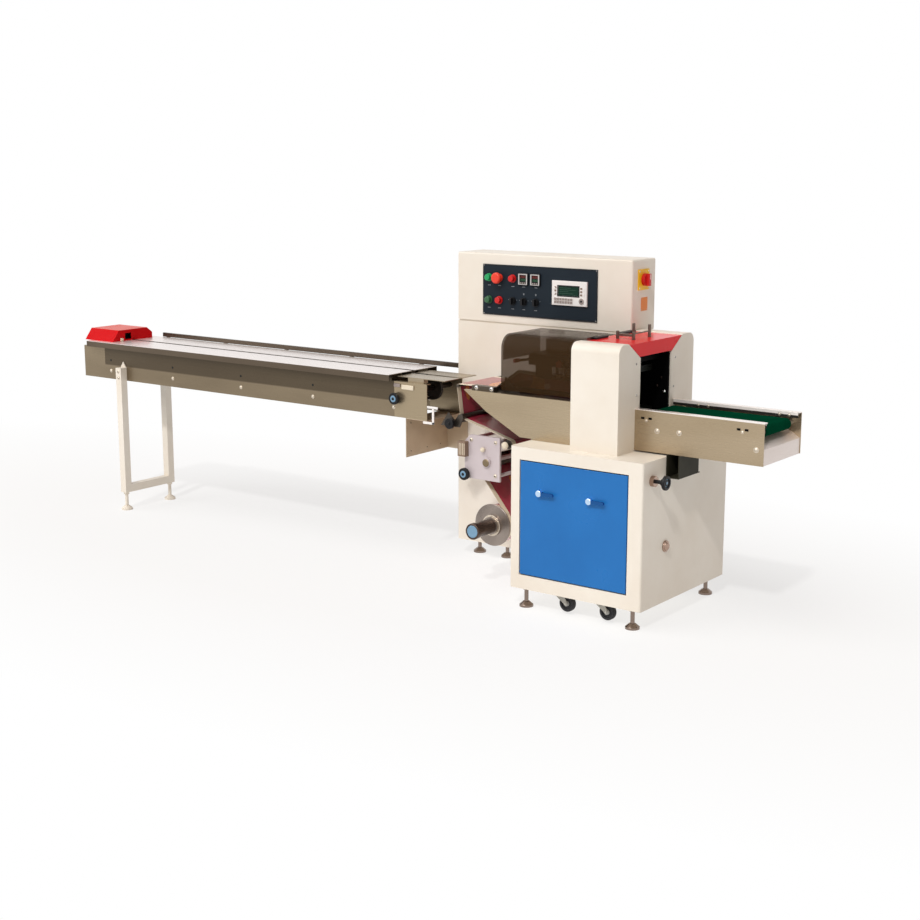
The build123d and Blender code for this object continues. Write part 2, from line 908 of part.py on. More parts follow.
# Outfeed conveyor
def outfeed_plate(side):
    """Side plate with an inward top flange and two pairs of belt-tension slots."""
    y = side * outfeed_half
    y0, y1 = span(y, y - side * sheet)
    plate = block(cover_right, line_end, y0, y1, outfeed_bottom, outfeed_top)
    f0, f1 = span(y, y - side * outfeed_flange)
    plate += block(cover_right, line_end, f0, f1, outfeed_top - sheet, outfeed_top)
    z = outfeed_top - outfeed_slot_drop
    half_length, half_height = outfeed_slot_length / 2, outfeed_slot_height / 2
    for middle in (cover_right + outfeed_first_slots, line_end - outfeed_last_slots):
        for x in (middle - outfeed_slot_spread, middle + outfeed_slot_spread):
            plate -= block(x - half_length, x + half_length, y0 - 1, y1 + 1,
                           z - half_height, z + half_height)
    return plate


def make_outfeed_plates():
    return group([outfeed_plate(-1), outfeed_plate(1)])


def loop_strip(x0, x1, z, radius, thickness, half):
    """Closed flat band round two rollers of one radius."""
    outer = SlotCenterToCenter(x1 - x0, 2 * (radius + thickness))
    inner = SlotCenterToCenter(x1 - x0, 2 * radius)
    band = extrude(Plane.XZ * (outer - inner), 2 * half)
    return Pos((x0 + x1) / 2, half, z) * band


def make_outfeed_belt():
    return loop_strip(outfeed_drive_x, outfeed_end_x, outfeed_axis_z,
                      outfeed_roller_radius + seat_gap, belt_thickness, belt_half)


def make_outfeed_rollers():
    """End and drive rollers, and the slider bed under the belt's upper run."""
    wall = outfeed_half - sheet
    parts = []
    for x in (outfeed_drive_x, outfeed_end_x):
        roller = rod_y(x, -belt_half, belt_half, outfeed_axis_z, outfeed_roller_radius)
        parts.append(roller + rod_y(x, -wall, wall, outfeed_axis_z, outfeed_journal_radius))
    bed_top = outfeed_axis_z + outfeed_roller_radius
    bed = block(outfeed_drive_x + belt_bed_inset, outfeed_end_x - belt_bed_inset,
                -belt_half, belt_half, bed_top - sheet, bed_top)
    for x in (outfeed_drive_x + belt_cross_inset, outfeed_end_x - belt_cross_inset):
        bed += block(x - belt_cross_width / 2, x + belt_cross_width / 2, -wall, wall,
                     bed_top - 3 * sheet, bed_top - sheet)
    return group(parts + [bed])


def make_end_guard():
    """Bent sheet that closes the conveyor's end below the roller."""
    wall = outfeed_half - sheet
    top = outfeed_axis_z - outfeed_roller_radius - 3 * belt_thickness
    x0, x1 = line_end - end_guard_length, line_end - sheet
    low = top - end_guard_drop
    return front_profile([(x0, top), (x1, low), (x1, outfeed_bottom), (x1 - sheet, outfeed_bottom),
                          (x1 - sheet, low - sheet / 2), (x0, top - sheet)], -wall, wall)


def make_outfeed_support():
    """Folded box bracket on the cabinet's side, and the tie between the side plates."""
    x1 = cabinet_right + support_width
    bottom = outfeed_bottom - support_drop
    box = block(cabinet_right, x1, support_front, support_back, bottom, outfeed_bottom)
    box -= block(cabinet_right + sheet, x1 - sheet, support_front - 1, support_back - sheet,
                 bottom + sheet, outfeed_bottom + 1)
    lip = block(cabinet_right, x1, support_back, support_back + support_lip, bottom,
                bottom + sheet)
    wall = outfeed_half - sheet
    tie = block(cabinet_right - support_width, x1, -wall, wall, outfeed_bottom,
                outfeed_bottom + sheet)
    return box + lip + tie


# Infeed conveyor
def infeed_plate(side):
    """Channel section with its flanges turned inwards."""
    y = side * infeed_half
    y0, y1 = span(y, y - side * sheet)
    f0, f1 = span(y, y - side * infeed_flange)
    plate = block(infeed_start, infeed_end, y0, y1, infeed_bottom, infeed_top)
    for z in (infeed_bottom, infeed_top - sheet):
        plate += block(infeed_start, infeed_end, f0, f1, z, z + sheet)
    return plate


def make_infeed_frame():
    """Both side plates, the end plate and the bearers that carry the bed."""
    frame = infeed_plate(-1) + infeed_plate(1)
    frame += block(infeed_start, infeed_start + sheet, -infeed_half, infeed_half,
                   infeed_bottom, infeed_top)
    run = bed_end - bed_start - bearer_inset - bearer_width
    for n in range(bearer_count):
        x = bed_start + bearer_inset + n * run / (bearer_count - 1)
        x0, x1 = x - bearer_width / 2, x + bearer_width / 2
        frame += block(x0, x1, -infeed_half, infeed_half, infeed_top - bearer_height, infeed_top)
        for side in (-1, 1):
            y0, y1 = span(side * riser_inner, side * infeed_half)
            frame += block(x0, x1, y0, y1, infeed_top, product_level - sheet)
    return frame


def infeed_bed(side):
    """Folded bed sheet: a deep outer lip and a short lip beside the slot."""
    low = product_level - sheet
    outer, inner = side * bed_half, side * slot_half
    y0, y1 = span(outer, inner)
    bed = block(bed_start, bed_end, y0, y1, low, product_level)
    y0, y1 = span(outer, outer - side * sheet)
    bed += block(bed_start, bed_end, y0, y1, product_level - bed_lip, product_level)
    y0, y1 = span(inner, inner + side * sheet)
    return bed + block(bed_start, bed_end, y0, y1, product_level - slot_lip, product_level)


def make_infeed_beds():
    return group([infeed_bed(-1), infeed_bed(1)])


def make_guide_rail():
    """Folded guide rail on stands along the rear edge of the bed."""
    low = product_level + rail_gap
    top = low + rail_height
    rail = block(rail_start, housing_left, rail_y, rail_y + sheet, low, top)
    rail += block(rail_start, housing_left, rail_y, rail_y + rail_fold, top - sheet, top)
    run = bed_end - rail_start - 4 * rail_stand_width
    for n in range(rail_stand_count):
        x = rail_start + 2 * rail_stand_width + n * run / (rail_stand_count - 1)
        rail += block(x - rail_stand_width / 2, x + rail_stand_width / 2, bed_half,
                      rail_y + sheet, product_level - bed_lip, top - rail_fold)
    return rail


def make_chain():
    """Conveyor chain as one fixed loop below the slot, on two sprocket shafts."""
    x0, x1 = infeed_start + chain_start_inset, infeed_end - chain_end_inset
    radius = chain_drop / 2 - chain_height
    z = chain_top - chain_drop / 2
    wall = infeed_half - sheet
    loop = loop_strip(x0, x1, z, radius, chain_height, chain_width / 2)
    for x in (x0, x1):
        loop += rod_y(x, -sprocket_width / 2, sprocket_width / 2, z, radius + 1)
        loop += rod_y(x, -wall, wall, z, sprocket_shaft_radius)
    return loop


def make_infeed_hood():
    """Red sheet hood over the start of the chain, with a window in its end wall."""
    low, top, cut, t = product_level, infeed_hood_top, infeed_hood_chamfer, hood_sheet

    def outline(half, bottom, crown, corner):
        return [(-half, bottom), (half, bottom), (half, crown - corner),
                (half - corner, crown), (corner - half, crown), (-half, crown - corner)]

    half = infeed_hood_half
    hood = side_profile(outline(half, low, top, cut), infeed_hood_start, infeed_hood_end)
    hood -= side_profile(outline(half - t, low - 1, top - t, cut),
                         infeed_hood_start + t, infeed_hood_end - t)
    return hood - block(infeed_hood_end - 2 * t, infeed_hood_end + 1,
                        infeed_window_y - infeed_window / 2, infeed_window_y + infeed_window / 2,
                        low + 2 * t, low + 2 * t + infeed_window)


def make_infeed_legs():
    """Two legs bolted outside the side plates, a low cross bar and two screw feet."""
    x0, x1 = leg_x - leg_width / 2, leg_x + leg_width / 2
    top = infeed_bottom + leg_overlap
    legs = block(x0, x1, -infeed_half, infeed_half, leg_bottom, leg_bottom + leg_width)
    for side in (-1, 1):
        inner = side * infeed_half
        outer = inner + side * leg_width
        legs += block(x0, x1, inner, outer, leg_bottom, top)
        y0, y1 = span(inner, inner + side * leg_point_thickness)
        legs += front_profile([(x0, top), (x1, top), (leg_x, top + leg_point)], y0, y1)
        legs += foot(leg_x, (inner + outer) / 2, leg_bottom)
    return legs


def make_infeed_support():
    """Folded sheet that carries the conveyor's end from the rear housing."""
    plate = block(bracket_x, bracket_x + sheet, -infeed_half, housing_front, bracket_bottom,
                  infeed_bottom)
    flange = block(bracket_x, housing_left + bracket_reach, housing_front - sheet, housing_front,
                   bracket_bottom, infeed_bottom)
    shelf = block(bracket_x, infeed_end, -infeed_half, housing_front, infeed_bottom - sheet,
                  infeed_bottom)
    return plate + flange + shelf


def make_transfer_plates():
    """Two dead plates that bridge from the bed to the former, either side of the slot."""
    plates = []
    level = product_level - transfer_drop
    for side in (-1, 1):
        y0, y1 = span(side * slot_half, side * transfer_half)
        plate = block(bed_end + sheet, transfer_end, y0, y1, level - sheet, level)
        y0, y1 = span(side * (transfer_half - transfer_foot), side * transfer_half)
        plate += block(infeed_end - 4 * transfer_foot, infeed_end - transfer_foot, y0, y1,
                       infeed_top, level)
        plates.append(plate)
    return group(plates)


# Film reel
def make_film_shaft():
    """Reel shaft in its wall bearing, with a rounded end cap."""
    front = reel_cap_front + reel_cap_length
    shaft = rod_y(reel_x, front, housing_front - seat_gap, reel_z, reel_shaft_radius)
    cap = rod_y(reel_x, reel_cap_front, front, reel_z, reel_cap_radius)
    cap = fillet(cap.faces().sort_by(Axis.Y)[0].edges(), reel_cap_round)
    return shaft + cap - rod_y(reel_x, reel_cap_front - 1, reel_cap_front + reel_cap_recess_depth,
                               reel_z, reel_cap_recess_radius)


def make_film_discs():
    """Two clamping discs, each with a stepped hub that faces outwards at the front."""
    discs = []
    for side in (-1, 1):
        near = side * (film_half + reel_disc_gap)
        far = near + side * reel_disc_thickness
        disc = rod_y(reel_x, near, far, reel_z, reel_disc_radius)
        disc = chamfer(disc.edges().filter_by(GeomType.CIRCLE), 1.5)
        if side < 0:
            disc += rod_y(reel_x, near, far - reel_flange_length, reel_z, reel_flange_radius)
            disc += rod_y(reel_x, near, far - reel_hub_length, reel_z, reel_hub_radius)
        disc -= rod_y(reel_x, near - side * reel_hub_length, far + side * 2 * reel_hub_length,
                      reel_z, reel_shaft_radius + running_gap / 2)
        discs.append(disc)
    return group(discs)


def make_film_roll():
    roll = rod_y(reel_x, -film_half, film_half, reel_z, reel_radius)
    return roll - rod_y(reel_x, -film_half - 1, film_half + 1, reel_z,
                        reel_shaft_radius + running_gap / 2)


def make_reel_bearing():
    near = housing_front - reel_bearing_length
    bearing = rod_y(reel_x, near, housing_front, reel_z, reel_bearing_radius)
    bearing = chamfer(bearing.faces().sort_by(Axis.Y)[0].edges(), 3)
    return bearing - rod_y(reel_x, near - 1, housing_front + 1, reel_z,
                           reel_shaft_radius + running_gap)


# Film path: round each circle in turn, with the circle on the left (+1) or the right (-1)
film_path = [
    ((reel_x, reel_z, reel_radius + 1), 1),
    (idler, -1),
    (turn_roller, 1),
    (edge_bar, -1),
    (fold_bar, -1),
]


def right_face(item):
    """Signed distance from a circle's centre to the film's right-hand face."""
    (x, z, r), s = item
    return r + seat_gap + film_sheet if s > 0 else -r - seat_gap


def heading(first, second):
    """Direction of the line that leaves one circle and meets the next."""
    (x0, z0, r0), s0 = first
    (x1, z1, r1), s1 = second
    k = right_face(second) - right_face(first)
    distance = hypot(x1 - x0, z1 - z0)
    return degrees(atan2(z1 - z0, x1 - x0) - asin(k / distance))


def on_circle(item, angle, shift):
    """Point of the film's face at a circle, where the film runs in direction angle."""
    (x, z, r), s = item
    reach = right_face(item) - shift
    return x + reach * sin(radians(angle)), z - reach * cos(radians(angle))


def film_face(shift):
    """Edges of one face of the film, shift to the left of its inner face."""
    angles = [heading(film_path[n], film_path[n + 1]) for n in range(len(film_path) - 1)]
    angles.append(0)
    edges = []
    for n, angle in enumerate(angles[:-1]):
        item, following = film_path[n], film_path[n + 1]
        start, end = on_circle(item, angle, shift), on_circle(following, angle, shift)
        edges.append(Line(start, end))
        (x, z, r), s = following
        turn = (angles[n + 1] - angle + 180) % 360 - 180
        if s > 0 and turn < 0:
            turn += 360
        if s < 0 and turn > 0:
            turn -= 360
        middle = on_circle(following, angle + turn / 2, shift)
        finish = on_circle(following, angle + turn, shift)
        edges.append(ThreePointArc(end, middle, finish))
    return edges


def fold_section(x, side_angle, top_angle, fin_angle):
    """Cross-section of the film at x, its side, top and fin strips turned up by three angles."""
    top_width = tube_half - fin_gap / 2
    strips = [(tube_side, side_angle), (top_width, top_angle), (fin_height, fin_angle)]
    y, z = tube_half, film_level
    centre = [(y, z)]
    for width, angle in strips:
        y += width * cos(radians(angle))
        z += width * sin(radians(angle))
        centre.append((y, z))
    line = [(-y, z) for y, z in reversed(centre)] + centre
    offset = []
    for n, (y, z) in enumerate(line):
        before, after = line[max(n - 1, 0)], line[min(n + 1, len(line) - 1)]
        first = atan2(z - before[1], y - before[0]) if n else None
        second = atan2(after[1] - z, after[0] - y) if n < len(line) - 1 else None
        first = second if first is None else first
        second = first if second is None else second
        turn = (second - first) / 2
        reach = film_sheet / cos(turn)
        offset.append((y - reach * sin(first + turn), z + reach * cos(first + turn)))
    outline = line + offset[::-1]
    return make_face(Polyline(*[(x, y, z) for y, z in outline], close=True))


def make_film_web():
    """Film from the reel to the fold bar, and the tube that it is folded into."""
    lower, upper = film_face(0), film_face(film_sheet)
    flat = Line(lower[-1] @ 1, (flat_end, film_level))
    face_top = Line(upper[-1] @ 1, (flat_end, film_level + film_sheet))
    caps = [Line(lower[0] @ 0, upper[0] @ 0), Line(flat @ 1, face_top @ 1)]
    face = Plane.XZ * make_face(lower + upper + caps + [flat, face_top])
    web = Pos(0, film_half, 0) * extrude(face, 2 * film_half)
    middle = (flat_end + tube_start) / 2
    sections = [fold_section(flat_end, 0, 0, 0), fold_section(middle, 40, 80, 60),
                fold_section(tube_start, 90, 180, 90), fold_section(cover_left, 90, 180, 90)]
    for first, second in zip(sections, sections[1:]):
        web += loft([first, second], ruled=True)
    return web


# Plate in front of the rollers, tied to the housing
def make_film_bracket():
    right, top = plate_left + plate_width, plate_bottom + plate_height
    back = plate_front + plate_thickness
    plate = front_profile([(plate_left, plate_bottom), (right, plate_bottom), (right, top),
                           (plate_left + plate_chamfer, top), (plate_left, top - plate_chamfer)],
                          plate_front, back)
    x, z, radius = tie_shaft
    plate += rod_y(x, plate_front - plate_hub_length, plate_front, z, plate_hub_radius)
    plate += rod_y(x, back, housing_front, z, radius)
    for x in (plate_left + standoff_inset, right - standoff_inset):
        for z in (plate_bottom + standoff_inset, top - standoff_inset):
            plate += rod_y(x, back, housing_front, z, standoff_radius)
    return plate


def film_roller(item, front, end_front):
    """Roller body on a journal between a front end and the housing."""
    x, z, radius = item
    body = rod_y(x, -roller_half, roller_half, z, radius)
    body = chamfer(body.edges().filter_by(GeomType.CIRCLE), 1)
    return body + rod_y(x, front, end_front, z, roller_journal_radius)


def make_film_rollers():
    """Idler on the plate, turn roller on the housing, edge bar and fold bar."""
    back = plate_front + plate_thickness
    rollers = [film_roller(idler, back, housing_front),
               film_roller(turn_roller, turn_roller_front, housing_front)]
    x, z, radius = edge_bar
    front = -roller_half - bar_bracket_thickness
    bar = rod_y(x, front, housing_front, z, radius)
    bar += rod_y(bar_bracket_x, -roller_half, housing_front, bar_bracket_z, roller_journal_radius)
    low, high = bar_bracket_z - bar_bracket_low, bar_bracket_z + bar_bracket_high
    ear = bar_bracket_ear
    bar += front_profile([(bar_bracket_x - bar_bracket_left, low),
                          (bar_bracket_x + bar_bracket_right, low), (x + ear, z - ear / 2),
                          (x + ear / 2, z + ear), (x - ear, z + ear / 2),
                          (bar_bracket_x + ear, bar_bracket_z + ear),
                          (bar_bracket_x - bar_bracket_apex, high)], front, -roller_half)
    x, z, radius = fold_bar
    return group(rollers + [bar, rod_y(x, -roller_half, housing_front, z, radius)])


def clamp_knob(x, y, z, radius):
    """Round knob on a stem that stands out from a face at y."""
    stem = rod_y(x, y - clamp_stem_length, y, z, clamp_stem_radius)
    near = y - clamp_stem_length
    knob = rod_y(x, near, near + clamp_knob_length, z, radius)
    return stem + fillet(knob.edges().filter_by(GeomType.CIRCLE), clamp_knob_round)


def make_clamp_knobs():
    return group([
        clamp_knob(plate_left + standoff_inset / 2, plate_front, plate_bottom + plate_knob_drop,
                   clamp_knob_radius),
        clamp_knob(bar_bracket_x, -roller_half - bar_bracket_thickness, bar_bracket_z,
                   bracket_knob_radius),
        clamp_knob(side_knob_x, -infeed_half, side_knob_z, clamp_knob_radius),
    ])


# Forming section: a polished guard plate in front and a deck under the film
def make_guard_plate():
    front, back = guard_front, guard_front + sheet
    bottom = cabinet_top + guard_foot
    plate = front_profile([(guard_left, guard_top), (cover_left, guard_top),
                           (cover_left, bottom), (guard_heel_x, bottom),
                           (guard_knee_x, guard_knee_z)], front, back)
    plate += block(cabinet_left, cover_left, back, back + guard_return, cabinet_top,
                   bottom + sheet)
    return plate + block(guard_left + sheet, cover_left, back, back + guard_return,
                         guard_top - deck_drop, guard_top)


def make_forming_box():
    """Deck between the housing and the guard plate, a side bar and two former shoulders."""
    front = guard_front + sheet
    box = block(guard_left + sheet, cover_left, front, housing_front, deck_top - sheet, deck_top)
    box += block(guard_bar_left, smoked_left - guard_bar_gap, front + guard_return,
                 front + guard_return + guard_bar_width, deck_top, deck_top + guard_bar_height)
    for side in (-1, 1):
        y = side * (film_half - former_gap)
        y0, y1 = span(y, y + side * sheet)
        box += front_profile([(former_left, deck_top), (former_left + former_length, deck_top),
                              (former_left, deck_top + former_height)], y0, y1)
    return box


# Fin-seal unit: pairs of wheels that grip the upright fin of the film tube
def lever_piece(start, end, radius):
    """Round bar between two points at the height of the release lever."""
    (x0, y0), (x1, y1) = start, end
    turn = degrees(atan2(y1 - y0, x1 - x0))
    bar = Cylinder(radius, hypot(x1 - x0, y1 - y0))
    return Pos((x0 + x1) / 2, (y0 + y1) / 2, lever_z) * Rot(0, 0, turn) * Rot(0, 90, 0) * bar


def make_fin_seal_unit():
    """Head with its wheels, skirt, heater box and release lever."""
    top = fin_head_bottom + fin_head_height
    unit = block(fin_head_left, fin_head_right, fin_head_front, housing_front, fin_head_bottom, top)
    unit = chamfer(unit.faces().sort_by(Axis.Y)[0].edges(), 2)
    unit += block(fin_skirt_left, fin_skirt_left + fin_skirt_width, fin_head_front,
                  fin_head_front + fin_skirt_thickness, fin_head_bottom - fin_skirt_height,
                  fin_head_bottom + fin_skirt_thickness)
    reach = fin_gap / 2 + film_sheet + seat_gap + fin_wheel_radius
    low = fin_base + film_sheet + fin_wheel_rise
    for side in (-1, 1):
        for n in range(fin_wheel_count):
            x = fin_centre_x + (n - (fin_wheel_count - 1) / 2) * fin_wheel_pitch
            unit += rod_z(x, side * reach, low, low + fin_wheel_thickness, fin_wheel_radius)
            unit += rod_z(x, side * reach, low, fin_head_bottom, fin_shaft_radius)
    unit += block(heater_left, heater_left + heater_length, heater_front, housing_front, top,
                  top + heater_height)
    return unit + lever_piece(lever_tip, lever_root, lever_radius)


def make_fin_seal_knobs():
    """Grip on the lever's end and a star knob on the head."""
    (x0, y0), (x1, y1) = lever_tip, lever_root
    share = lever_grip_length / hypot(x1 - x0, y1 - y0)
    end = (x0 - share * (x1 - x0), y0 - share * (y1 - y0))
    grip = lever_piece(end, lever_tip, lever_grip_radius)
    grip = fillet(grip.edges().filter_by(GeomType.CIRCLE), 2)
    face = fin_head_front - star_stem_length
    knob = rod_y(star_knob_x, face, fin_head_front, star_knob_z, star_stem_radius)
    core = star_knob_radius * 3 / 4
    knob += rod_y(star_knob_x, face - star_knob_length, face, star_knob_z, core)
    for n in range(star_knob_lobes):
        turn = radians(90 + n * 360 / star_knob_lobes)
        knob += rod_y(star_knob_x + core * cos(turn), face - star_knob_length, face,
                      star_knob_z + core * sin(turn), star_knob_radius - core)
    return group([grip, knob])


# Smoked hood over the fin-seal unit, and its hinge on the housing
def hinge_places():
    half = hinge_barrel_length / 2
    left = smoked_left + hinge_end_inset
    right = smoked_right - hinge_end_inset
    return [(left - half, left + half), (right - half, right + half)]


def make_smoked_hood():
    """Bent pane with end walls, notched for the film, and two hinge barrels."""
    t = smoked_thickness
    back = smoked_back
    outer = block(smoked_left, smoked_right, smoked_front, back, smoked_bottom, housing_top)
    inner = block(smoked_left + t, smoked_right - t, smoked_front + t, back + 1,
                  smoked_bottom - 1, housing_top - t)

    def bend(shape, y, z, radius):
        edge = [e for e in shape.edges().filter_by(Axis.X)
                if abs(e.center().Y - y) < 1 and abs(e.center().Z - z) < 1]
        return fillet(edge, radius)

    hood = bend(outer, smoked_front, housing_top, smoked_bend)
    hood -= bend(inner, smoked_front + t, housing_top - t, smoked_bend - t)
    hood -= block(smoked_left - 1, smoked_left + t, smoked_front + t, back + 1,
                  smoked_bottom - 1, smoked_notch_top)
    hood -= block(smoked_right - t, smoked_right + 1, smoked_notch_front, back + 1,
                  smoked_bottom - 1, smoked_notch_top)
    hood -= block(smoked_left - 1, smoked_right + 1, hinge_y - hinge_leaf_depth, back + 1,
                  smoked_bottom - 1, housing_top - t)
    for x0, x1 in hinge_places():
        leaf = block(x0, x1, hinge_y - hinge_leaf_depth, hinge_y, hinge_z, housing_top - t)
        barrel = leaf + rod_x(x0, x1, hinge_y, hinge_z, hinge_barrel_radius)
        hood += barrel - rod_x(x0 - 1, x1 + 1, hinge_y, hinge_z, hinge_pin_radius + running_gap)
    return hood


def make_hood_hinges():
    """Knuckles on the housing either side of each barrel, joined by a fixed pin."""
    parts = []
    for x0, x1 in hinge_places():
        hinge = rod_x(x0 - hinge_knuckle_length, x1 + hinge_knuckle_length, hinge_y, hinge_z,
                      hinge_pin_radius)
        for a, b in ((x0 - hinge_knuckle_length, x0 - seat_gap),
                     (x1 + seat_gap, x1 + hinge_knuckle_length)):
            hinge += rod_x(a, b, hinge_y, hinge_z, hinge_barrel_radius)
            hinge += block(a, b, hinge_y, housing_front, hinge_z - hinge_block_height / 2,
                           hinge_z + hinge_block_height / 2)
        parts.append(hinge)
    return group(parts)


nodes = {
    "rear_housing": make_housing(),
    "rear_access_panels": make_rear_panels(),
    "control_box": make_control_box(),
    "control_panel": make_control_panel(),
    "green_buttons": group([push_button(column_x[0], high_row), push_button(column_x[0], low_row)]),
    "red_buttons": group([push_button(column_x[2], high_row), push_button(column_x[1], low_row)]),
    "stop_button": mushroom_button(column_x[1], high_row),
    "selector_switches": group([selector(x, low_row) for x in column_x[2:]]),
    "temperature_controllers": make_meters(),
    "operator_terminal": make_terminal(),
    "terminal_screen": make_screen(),
    "isolator_plate": make_isolator_plate(),
    "isolator_knob": make_isolator_knob(),
    "seal_cabinet": make_cabinet(),
    "cabinet_door": make_door(),
    "left_door_latch": make_latch(latch_places()[0]),
    "right_door_latch": make_latch(latch_places()[1]),
    "levelling_feet": make_levelling_feet(),
    "left_castor_fork": make_swivel_fork(castor_places()[0]),
    "right_castor_fork": make_swivel_fork(castor_places()[1]),
    "rear_castor_forks": make_rear_forks(),
    "left_castor_wheel": make_wheel(castor_places()[0], front_castor_y),
    "right_castor_wheel": make_wheel(castor_places()[1], front_castor_y),
    "rear_left_castor_wheel": make_wheel(castor_places()[0], rear_castor_y),
    "rear_right_castor_wheel": make_wheel(castor_places()[1], rear_castor_y),
    "side_bosses": make_side_bosses(),
    "handwheel": make_handwheel(),
    "front_seal_cover": seal_cover(front_cover_inner, front_cover_front),
    "back_seal_cover": seal_cover(back_cover_inner, back_cover_back),
    "seal_hood": make_seal_hood(),
    "seal_frame": make_seal_frame(),
    "seal_jaws": make_jaws(),
    "pressure_posts": make_posts(),
    "outfeed_side_plates": make_outfeed_plates(),
    "outfeed_belt": make_outfeed_belt(),
    "outfeed_rollers": make_outfeed_rollers(),
    "outfeed_end_guard": make_end_guard(),
    "outfeed_support": make_outfeed_support(),
    "infeed_frame": make_infeed_frame(),
    "infeed_beds": make_infeed_beds(),
    "infeed_guide_rail": make_guide_rail(),
    "infeed_chain": make_chain(),
    "infeed_hood": make_infeed_hood(),
    "infeed_legs": make_infeed_legs(),
    "infeed_support": make_infeed_support(),
    "transfer_plates": make_transfer_plates(),
    "film_shaft": make_film_shaft(),
    "film_discs": make_film_discs(),
    "film_roll": make_film_roll(),
    "reel_bearing": make_reel_bearing(),
    "film_web": make_film_web(),
    "film_bracket": make_film_bracket(),
    "film_rollers": make_film_rollers(),
    "clamp_knobs": make_clamp_knobs(),
    "guard_plate": make_guard_plate(),
    "forming_box": make_forming_box(),
    "fin_seal_unit": make_fin_seal_unit(),
    "fin_seal_knobs": make_fin_seal_knobs(),
    "smoked_hood": make_smoked_hood(),
    "smoked_hood_hinges": make_hood_hinges(),
}

os.makedirs("parts", exist_ok=True)
for name, shape in nodes.items():
    export_step(shape, f"parts/{name}.step")
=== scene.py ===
import json
import math
import bmesh
import bpy
from mathutils import Matrix, Vector


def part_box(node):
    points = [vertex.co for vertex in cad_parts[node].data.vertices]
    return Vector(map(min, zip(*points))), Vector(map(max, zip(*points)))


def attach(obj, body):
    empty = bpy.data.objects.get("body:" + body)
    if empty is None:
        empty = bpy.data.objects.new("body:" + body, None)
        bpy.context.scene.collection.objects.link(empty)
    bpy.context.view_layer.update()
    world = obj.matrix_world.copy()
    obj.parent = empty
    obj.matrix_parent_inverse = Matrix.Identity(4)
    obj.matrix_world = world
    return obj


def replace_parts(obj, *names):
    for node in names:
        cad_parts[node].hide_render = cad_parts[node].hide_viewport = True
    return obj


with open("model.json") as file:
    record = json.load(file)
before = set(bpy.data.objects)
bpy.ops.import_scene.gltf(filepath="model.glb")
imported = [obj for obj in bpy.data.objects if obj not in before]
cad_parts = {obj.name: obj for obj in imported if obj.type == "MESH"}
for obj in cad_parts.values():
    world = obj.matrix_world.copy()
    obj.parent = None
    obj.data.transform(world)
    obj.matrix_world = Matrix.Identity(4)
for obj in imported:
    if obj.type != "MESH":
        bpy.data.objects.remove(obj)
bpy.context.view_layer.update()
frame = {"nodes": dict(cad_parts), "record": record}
nodes = frame["nodes"]
scene = bpy.context.scene
mm = 0.001
print("stage: frame loaded,", len(nodes), "nodes")


def linear(hexColour):
    # sRGB hex to the linear values that the shaders take
    channels = [int(hexColour[i:i + 2], 16) / 255 for i in (1, 3, 5)]
    return tuple(c / 12.92 if c <= 0.04045 else ((c + 0.055) / 1.055) ** 2.4
        for c in channels) + (1.0,)


def wire(tree, node, links):
    for name, source in links.items():
        tree.links.new(source, node.inputs[name])


def addNode(tree, kind, values=None, links=None, **settings):
    # shader nodes go by their short names
    node = tree.nodes.new(kind if "Node" in kind else "ShaderNode" + kind)
    for name, value in settings.items():
        setattr(node, name, value)
    for name, value in (values or {}).items():
        node.inputs[name].default_value = value
    wire(tree, node, links or {})
    return node


def newMaterial(name, **sockets):
    material = bpy.data.materials.new(name)
    material.use_nodes = True
    tree = material.node_tree
    tree.nodes.clear()
    shader = addNode(tree, "BsdfPrincipled",
        {key.replace("_", " "): value for key, value in sockets.items()})
    addNode(tree, "OutputMaterial", links={"Surface": shader.outputs["BSDF"]})
    coords = addNode(tree, "TexCoord").outputs["Object"]
    return material, tree, shader, coords


def heightBand(tree, coords, surface, band):
    # another colour fades in from low to high (or down, if low is above high), right of a
    # start; surface is a colour or a socket
    parts = addNode(tree, "SeparateXYZ", links={"Vector": coords})
    beyond = addNode(tree, "Math", {1: band.get("start", -9.0)}, {0: parts.outputs["X"]},
        operation="GREATER_THAN")
    most = addNode(tree, "Math", {1: band.get("amount", 1.0)}, {0: beyond.outputs[0]},
        operation="MULTIPLY")
    depth = addNode(tree, "MapRange", {"From Min": band["low"], "From Max": band["high"]},
        {"Value": parts.outputs["Z"], "To Max": most.outputs[0]})
    values, links = {7: linear(band["colour"])}, {0: depth.outputs["Result"]}
    (values if isinstance(surface, tuple) else links)[6] = surface
    return addNode(tree, "Mix", values, links, data_type="RGBA").outputs[2]


def joinColour(tree, coords, shader, surface, bands):
    for band in bands:
        surface = heightBand(tree, coords, surface, band)
    if not isinstance(surface, tuple):
        wire(tree, shader, {"Base Color": surface})


def noiseRelief(tree, shader, coords, texture, strength, distance):
    # fine noise felt as a bump; gives back its grey value
    grey = addNode(tree, "TexNoise", texture, {"Vector": coords}).outputs["Fac"]
    bump = addNode(tree, "Bump", {"Strength": strength, "Distance": distance}, {"Height": grey})
    wire(tree, shader, {"Normal": bump.outputs["Normal"]})
    return grey


